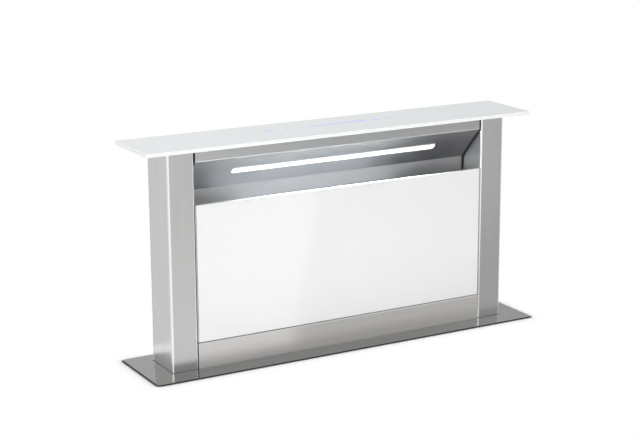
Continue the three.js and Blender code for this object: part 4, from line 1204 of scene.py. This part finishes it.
# ---------------------------------------------------------------- fascia, slope and rear wall
# One stainless sheet makes the fascia under the lid, the slope behind it and the rear wall. The LED
# strip stands in a slot of the slope.
# The finest brushing on the vent: its lines hardly show, and what it mirrors goes soft.
liner_steel = brushed("brushed stainless, intake", "#bbbcbd", "#b7b8b9", 0.33, (200, 1.0, 1.0), 0.0003,
                      (900, 40, 40))
low, high = span("intake_liner")
liner_sheet, liner_bend, end_play = 1.0, 0.9, 2.2
fascia_foot, slope_run, slope_foot = high.z - 15.3, 44, 236.7
wall_y = low.y + slope_run
liner = folded([(low.y, high.z), (low.y, fascia_foot), (wall_y, slope_foot), (wall_y, low.z)],
               liner_sheet, liner_bend, "x", low.x + end_play, high.x - end_play, shining=(1,))
slope_angle = math.atan2(fascia_foot - slope_foot, slope_run)
slope_turn = Matrix.Rotation(-slope_angle, 3, "X")
led_middle = middle_of("led_diffuser")
led_length, led_width, led_thickness, led_play = 320, 12, 2.6, 0.8


def on_slope(length, width, thickness, edge):
    """A round-ended strip that lies in the slope, round the LED strip's middle."""
    outline = rectangle(-length / 2, length / 2, -width / 2, width / 2, width * 0.3, 8)
    shape = outlines_plate([outline], thickness, edge)
    bmesh.ops.rotate(shape, matrix=slope_turn, verts=shape.verts)
    return moved(shape, *led_middle)


liner = cut_away(liner, on_slope(led_length + led_play, led_width + led_play, through, 0))
# The fascia's foot bend, the sheet's free edges and its ends are painted nearly white, a painted
# highlight.
fitted("intake_liner_sheet", liner, "tower", "brushed_stainless", ["intake_liner"],
       liner_steel, painted_highlight_steel)

# The chips behind the opal acrylic stand about 8 mm apart and just show, and it dims towards its rim.
# A wave of this scale repeats every 314 / 38 mm.
opal_acrylic, tree = new_material("opal acrylic, lit")
place = add(tree, "ShaderNodeTexCoord").outputs["Object"]
chips = add(tree, "ShaderNodeTexWave", {"Vector": place, "Scale": 38.0, "Distortion": 0.4},
            wave_type="BANDS", bands_direction="X")
glare = add(tree, "ShaderNodeMapRange", {0: chips.outputs[1], 1: 0.0, 2: 1.0, 3: 1.45, 4: 1.75})
from_middle = add(tree, "ShaderNodeVectorMath", {0: place, 1: led_middle / 1000}, operation="SUBTRACT")
across_strip = slope_turn @ Vector((0, 1, 0))
aside = add(tree, "ShaderNodeVectorMath", {0: from_middle.outputs[0], 1: across_strip},
            operation="DOT_PRODUCT")
off = add(tree, "ShaderNodeMath", {0: aside.outputs["Value"]}, operation="ABSOLUTE")
rim = add(tree, "ShaderNodeMapRange", {0: off.outputs[0], 1: 0.0022, 2: 0.0058, 3: 1.0, 4: 0.06})
lit = add(tree, "ShaderNodeMath", {0: glare.outputs[0], 1: rim.outputs[0]}, operation="MULTIPLY")
milk = add(tree, "ShaderNodeMix", {
    "Factor": chips.outputs[1], "A": colour("#cfd0d4"), "B": colour("#d8d9dc"),
}, data_type="RGBA")
surface = add(tree, "ShaderNodeBsdfPrincipled", {
    "Base Color": milk.outputs["Result"], "Roughness": 0.45, "Emission Color": colour("#ffffff"),
    "Emission Strength": lit.outputs[0],
})
add(tree, "ShaderNodeOutputMaterial", {"Surface": surface.outputs[0]})
fitted("led_diffuser_strip", on_slope(led_length, led_width, led_thickness, 0.5), "tower",
       "opal_diffuser", ["led_diffuser"], opal_acrylic)
led_light = bpy.data.objects.new("led_light", bpy.data.lights.new("led_light", "AREA"))
led_light.data.shape, led_light.data.size, led_light.data.size_y = "RECTANGLE", 0.26, 0.011
led_light.data.energy = 2.1
led_light.data.color = colour("#f7f9ff")[:3]
out_of_slope = Vector((0, -math.sin(slope_angle), -math.cos(slope_angle)))
led_light.location = (led_middle + out_of_slope * 2.4) / 1000
led_light.rotation_euler = out_of_slope.to_track_quat("-Z", "Y").to_euler()
led_light.visible_camera = False
scene.collection.objects.link(led_light)
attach(led_light, "tower")


# ---------------------------------------------------------------- filter ledge and grease filters
# Two filters of expanded aluminium in folded frames stand on a stainless ledge and lean back on the
# rear wall. They are lifted out by hand once the glass is tipped forward.
# The ledge is brushed along its length, like the strip below the glass.
ledge_steel = brushed("brushed stainless, filter ledge", "#bdbcb9", "#afaeab", 0.3, (60, 1.1, 1.1))
low, high = span("filter_ledge")
ledge = folded([(high.y, low.z), (low.y, low.z), (low.y, high.z)], -sheet, 0.6, "x", low.x, high.x)
# Its free edges and ends are painted nearly white, a painted highlight.
fitted("filter_ledge_angle", ledge, "tower", "brushed_stainless", ["filter_ledge"],
       ledge_steel, painted_highlight_steel)

expanding, given = new_tree("expanded mesh", Width="Float", Height="Float", Columns="Int", Rows="Int",
                            Strand="Float")
cell_wide, cell_high = (
    add(expanding, "ShaderNodeMath", {0: given[size], 1: given[number]}, operation="DIVIDE").outputs[0]
    for size, number in (("Width", "Columns"), ("Height", "Rows"))
)
half_high = add(expanding, "ShaderNodeMath", {0: cell_high, 1: 0.5}, operation="MULTIPLY").outputs[0]
diamond = add(expanding, "GeometryNodeCurvePrimitiveQuadrilateral", {
    "Width": cell_wide, "Bottom Height": half_high, "Top Height": half_high,
}, mode="KITE")
section = add(expanding, "GeometryNodeCurvePrimitiveQuadrilateral", {
    "Width": given["Strand"], "Height": given["Strand"],
}, mode="RECTANGLE")
cell = add(expanding, "GeometryNodeCurveToMesh", {
    "Curve": diamond.outputs[0], "Profile Curve": section.outputs[0],
})
cells = []
for shift in (0, 1):
    sizes = {}
    for axis, size, number, cell_size in (("X", "Width", "Columns", cell_wide),
                                          ("Y", "Height", "Rows", cell_high)):
        margin = add(expanding, "ShaderNodeMath", {0: cell_size, 1: 1.0 + shift}, operation="MULTIPLY")
        sizes[f"Size {axis}"] = add(expanding, "ShaderNodeMath", {0: given[size], 1: margin.outputs[0]},
                                    operation="SUBTRACT").outputs[0]
        sizes[f"Vertices {axis}"] = add(expanding, "ShaderNodeMath", {0: given[number], 1: shift},
                                        operation="SUBTRACT").outputs[0]
    points = add(expanding, "GeometryNodeMeshGrid", sizes)
    cells.append(add(expanding, "GeometryNodeInstanceOnPoints", {
        "Points": points.outputs["Mesh"], "Instance": cell.outputs[0],
    }).outputs[0])
net = add(expanding, "GeometryNodeJoinGeometry", {"Geometry": cells})
layers = add(expanding, "GeometryNodeInstanceOnPoints", {
    "Points": given["Geometry"], "Instance": net.outputs[0],
})
closed(expanding, layers.outputs[0], given["Finish"])

filter_height, filter_thickness, filter_border, filter_foot, clearance = 141, 9, 11, -9, 0.4
wall_face = span("intake_liner")[1].y - liner_sheet - clearance
filter_lean = math.asin((wall_face - filter_foot - filter_thickness / 2) / filter_height)
lean = Matrix.Rotation(math.pi / 2 - filter_lean, 3, "X")
ledge_top = span("filter_ledge")[0].z + sheet + clearance
filter_place = Vector((0, filter_foot, ledge_top + math.sin(filter_lean) * filter_thickness / 2))
layer_gap = 0.0026
# The frames are bright sheet, and the mesh is darker, as each strand shades the next.
frame_aluminium = brushed("folded aluminium, filter frames", "#c8c9cb", "#b6b7b9", 0.34, (50, 0.4, 0.4))
mesh_aluminium = brushed("expanded aluminium, filters", "#808285", "#6e7073", 0.5, (3, 3, 3))
for side, name in ((-1, "left"), (1, "right")):
    low, high = span(f"filter_frame_{name}")
    surround = outlines_plate([
        rectangle(low.x, high.x, 0, filter_height, 1.5),
        rectangle(low.x + filter_border, high.x - filter_border,
                  filter_border, filter_height - filter_border, 1),
    ], filter_thickness, 1.2)
    bmesh.ops.rotate(surround, matrix=lean, verts=surround.verts)
    fitted(f"filter_frame_{name}_surround", moved(surround, *filter_place), "tower", "aluminium",
           [f"filter_frame_{name}"], frame_aluminium)
    mesh = bpy.data.meshes.new(f"filter_layers_{name}")
    mesh.from_pydata([(0, 0, z) for z in (-layer_gap, 0, layer_gap)], [], [])
    net = grown(f"filter_layers_{name}", mesh, expanding,
                Width=(high.x - low.x - 2 * filter_border) / 1000,
                Height=(filter_height - 2 * filter_border) / 1000,
                Columns=20, Rows=22, Strand=0.0008, Finish=mesh_aluminium)
    foot = Vector(((low.x + high.x) / 2, filter_place.y, filter_place.z)) / 1000
    net.transform(Matrix.Translation((0, filter_height / 2000, 0)))
    net.transform(Matrix.Translation(foot) @ lean.to_4x4())
    fitted(f"filter_layers_{name}", net, "tower", "filter_mesh", [f"filter_mesh_{name}"])


# ---------------------------------------------------------------- glass front panel
# A 4 mm pane painted white on its back, with ground edges, held in a tray of galvanised sheet whose
# ears cover its ends and whose pins let it tip forward.
def painted_glass(name, light, dark, roughness=0.04, coat=0.0):
    """Low-iron glass painted white on the back: gloss over a white that is a little uneven. The coat is
    a reflecting film on the face."""
    made, tree = new_material(name)
    place = add(tree, "ShaderNodeTexCoord").outputs["Object"]
    patch_size = 166.67
    paint = add(tree, "ShaderNodeTexNoise", {
        "Vector": place, "Scale": 1000 / patch_size, "Detail": 2.0,
    })
    tint = add(tree, "ShaderNodeMix", {
        "Factor": paint.outputs[0], "A": colour(light), "B": colour(dark),
    }, data_type="RGBA")
    surface = add(tree, "ShaderNodeBsdfPrincipled", {
        "Base Color": tint.outputs["Result"], "Roughness": roughness, "IOR": 1.52,
        "Coat Weight": coat, "Coat Roughness": 0.02, "Coat IOR": 1.95,
    })
    add(tree, "ShaderNodeOutputMaterial", {"Surface": surface.outputs[0]})
    return made


panel_glass = painted_glass("white back-painted glass, panel", "#efefef", "#ededed", coat=1.0)
panel_edge = painted_glass("ground glass edge, panel", "#a9aeac", "#a1a6a4", 0.35)
low, high = span("glass_panel")
pane = outlines_plate([rectangle(low.x, high.x, low.z, high.z, 0.8)], high.y - low.y, 0.4)
bmesh.ops.rotate(pane, matrix=Matrix.Rotation(math.pi / 2, 3, "X"), verts=pane.verts)
pane = two_faced(moved(pane, 0, (low.y + high.y) / 2, 0), lambda normal: abs(normal.y) > 0.9)
fitted("glass_panel_pane", pane, "front_panel", "white_glass", ["glass_panel"], panel_glass, panel_edge)

# Bright sheet with fine upright lines.
carrier_zinc = brushed("bright steel, panel carrier", "#d6d6d4", "#c6c6c4", 0.34, (0.5, 0.5, 40))
tray_low, tray_high = span("panel_carrier")
ear, ear_front, ear_sheet, pane_back = 225.6, 1.1, 1.5, high.y
half_section = [
    (ear - ear_front, pane_back, 0), (ear - ear_front, low.y, 0.3), (ear, low.y, 0.3),
    (ear, tray_high.y, 0.4), (ear - ear_sheet, tray_high.y, 0.4),
    (ear - ear_sheet, pane_back + ear_sheet, 0.4),
]
section = rounded(half_section + [(-x, y, radius) for x, y, radius in reversed(half_section)], 3)
pin_at, pin_radius, pin_root, pin_reach = (0, -24.9, 45), 1.5, 0.8, 2.6
carrier = together(
    pushed(section, "z", tray_low.z, tray_high.z),
    rod(pin_radius, "x", pin_at, -ear - pin_reach, -ear + pin_root, 0.3, 24),
    rod(pin_radius, "x", pin_at, ear - pin_root, ear + pin_reach, 0.3, 24),
)
fitted("panel_carrier_tray", carrier, "front_panel", "galvanised_steel", ["panel_carrier"],
       carrier_zinc)


# ---------------------------------------------------------------- top plate and touch board
# A galvanised plate closes the tower under the lid, with a window in it for the green circuit board
# that feels the fingers through the glass. The LED strip's board is made like it.
low, high = span("top_plate")
board_low, board_high = span("touch_board")
plate = plate_between([
    rectangle(low.x, high.x, low.y, high.y, 0.6),
    rectangle(board_low.x - 1, board_high.x + 1, board_low.y - 1, board_high.y + 1, 0.4),
], low.z, high.z, 0.2)
plate_zinc = galvanised("hot-dip galvanised sheet, top plate", "#bfc2c5", "#989ca0", 0.4)
fitted("top_plate_sheet", plate, "tower", "galvanised_steel", ["top_plate"], plate_zinc)
# Solder mask is green with a half gloss.
board_green = moulded("green solder mask, circuit boards", "#32633f", "#27523a", 0.35, 1.2)
fitted("touch_board_card", block(board_low, board_high, 0.2), "tower", "circuit_board",
       ["touch_board"], board_green)
as_drawn("led_board", board_green)


# ---------------------------------------------------------------- glass lid
# A 5 mm white glass shelf that hangs out all round, with ground edges. Its touch marks are printed
# behind the glass and only glow faintly.
# The lid's white is painted greyer than the panel's, a painted shade on a top that gets less light, and
# its ground edge is painted nearly white, a painted highlight.
lid_top = painted_glass("white back-painted glass, lid", "#dfe3e5", "#dbdfe2")
lid_edge_highlight = painted_glass("ground glass edge, lid, painted highlight", "#fafbfb", "#f4f6f6", 0.2)
low, high = span("lid_glass")
under_marks = 0.05
shelf = plate_between([rectangle(low.x, high.x, low.y, high.y, 1.5)],
                      low.z - under_marks, high.z - under_marks, 0.6)
shelf = two_faced(shelf, lambda normal: abs(normal.z) > 0.9)
fitted("lid_glass_shelf", shelf, "tower", "white_glass", ["lid_glass"], lid_top, lid_edge_highlight)

mark_thickness, mark_row = 0.06, 16


def mark(outlines, x, y=mark_row):
    """A printed mark, as thin as its ink, level with the glass's face."""
    return moved(plate_between(outlines, high.z - mark_thickness, high.z, 0.01), x, y, 0)


def ink(name, code, glowing):
    """Translucent ceramic ink behind the glass: pale when it is off, a faint glow when it is on."""
    made, tree = new_material(name)
    dot_size = 1.111
    dots = add(tree, "ShaderNodeTexNoise", {
        "Vector": add(tree, "ShaderNodeTexCoord").outputs["Object"], "Scale": 1000 / dot_size,
    })
    tint = add(tree, "ShaderNodeMix", {
        "Factor": dots.outputs[0], "A": colour(code), "B": colour("#cfd6ee"),
    }, data_type="RGBA")
    surface = add(tree, "ShaderNodeBsdfPrincipled", {
        "Base Color": tint.outputs["Result"], "Roughness": 0.08, "IOR": 1.5,
        "Emission Color": colour(code), "Emission Strength": glowing,
    })
    add(tree, "ShaderNodeOutputMaterial", {"Surface": surface.outputs[0]})
    return made


faint_ink = ink("faint violet ink, touch marks", "#94a6e6", 0.12)
lit_ink = ink("blue-violet ink, lit touch marks", "#6478ea", 0.3)
lamp_x, minus_x, plus_x, power_x = -91, -64, 76, 99
minus = rectangle(-4.5, 4.5, -1.5, 1.5, 1)
plus = [(-4.5, -1.4), (-1.4, -1.4), (-1.4, -5), (1.4, -5), (1.4, -1.4), (4.5, -1.4),
        (4.5, 1.4), (1.4, 1.4), (1.4, 5), (-1.4, 5), (-1.4, 1.4), (-4.5, 1.4)]
power_bar = rectangle(-0.9, 0.9, 1.2, 6.8, 0.6)
lamp_sign = mark([ring(5, 32), ring(2.4, 32)], lamp_x)
power_sign = together(mark([ring(5, 32), ring(3, 32)], power_x), mark([power_bar], power_x))
fitted("touch_marks_faint", together(mark([minus], minus_x), power_sign), "tower", "white_glass", [],
       faint_ink)
fitted("touch_marks_lit", together(lamp_sign, mark([plus], plus_x)), "tower", "white_glass", [],
       lit_ink)

dashes, given = new_tree("slider dashes", Length="Float", Height="Float", Share="Float", Count="Int",
                         Thickness="Float")
pace = add(dashes, "ShaderNodeMath", {0: given["Length"], 1: given["Count"]},
           operation="DIVIDE").outputs[0]
back = add(dashes, "ShaderNodeMath", {0: given["Length"], 1: -0.5}, operation="MULTIPLY")
first = add(dashes, "ShaderNodeCombineXYZ", {"X": back.outputs[0]})
onward = add(dashes, "ShaderNodeCombineXYZ", {"X": pace})
row = add(dashes, "GeometryNodeMeshLine", {
    "Count": given["Count"], "Start Location": first.outputs[0], "Offset": onward.outputs[0],
})
printed = add(dashes, "ShaderNodeMath", {0: pace, 1: given["Share"]}, operation="MULTIPLY")
dash_size = add(dashes, "ShaderNodeCombineXYZ", {
    "X": printed.outputs[0], "Y": given["Height"], "Z": given["Thickness"],
})
dash = add(dashes, "GeometryNodeMeshCube", {"Size": dash_size.outputs[0]})
line = add(dashes, "GeometryNodeInstanceOnPoints", {
    "Points": row.outputs[0], "Instance": dash.outputs["Mesh"],
})
spread = add(dashes, "GeometryNodeInstanceOnPoints", {
    "Points": given["Geometry"], "Instance": line.outputs[0],
})
closed(dashes, spread.outputs[0], given["Finish"])
for name, x, length, count, material in (("touch_slider_low", 1, 58, 12, faint_ink),
                                         ("touch_slider_high", 45, 30, 6, lit_ink)):
    mesh = bpy.data.meshes.new(name)
    mesh.from_pydata([(x / 1000, mark_row / 1000, (high.z - mark_thickness / 2) / 1000)], [], [])
    fitted(name, grown(name, mesh, dashes, Length=length / 1000, Height=0.0075, Share=0.78, Count=count,
                       Thickness=mark_thickness / 1000, Finish=material), "tower", "white_glass", [])


# ---------------------------------------------------------------- sizes
# The box of the dressed model.
low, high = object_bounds()
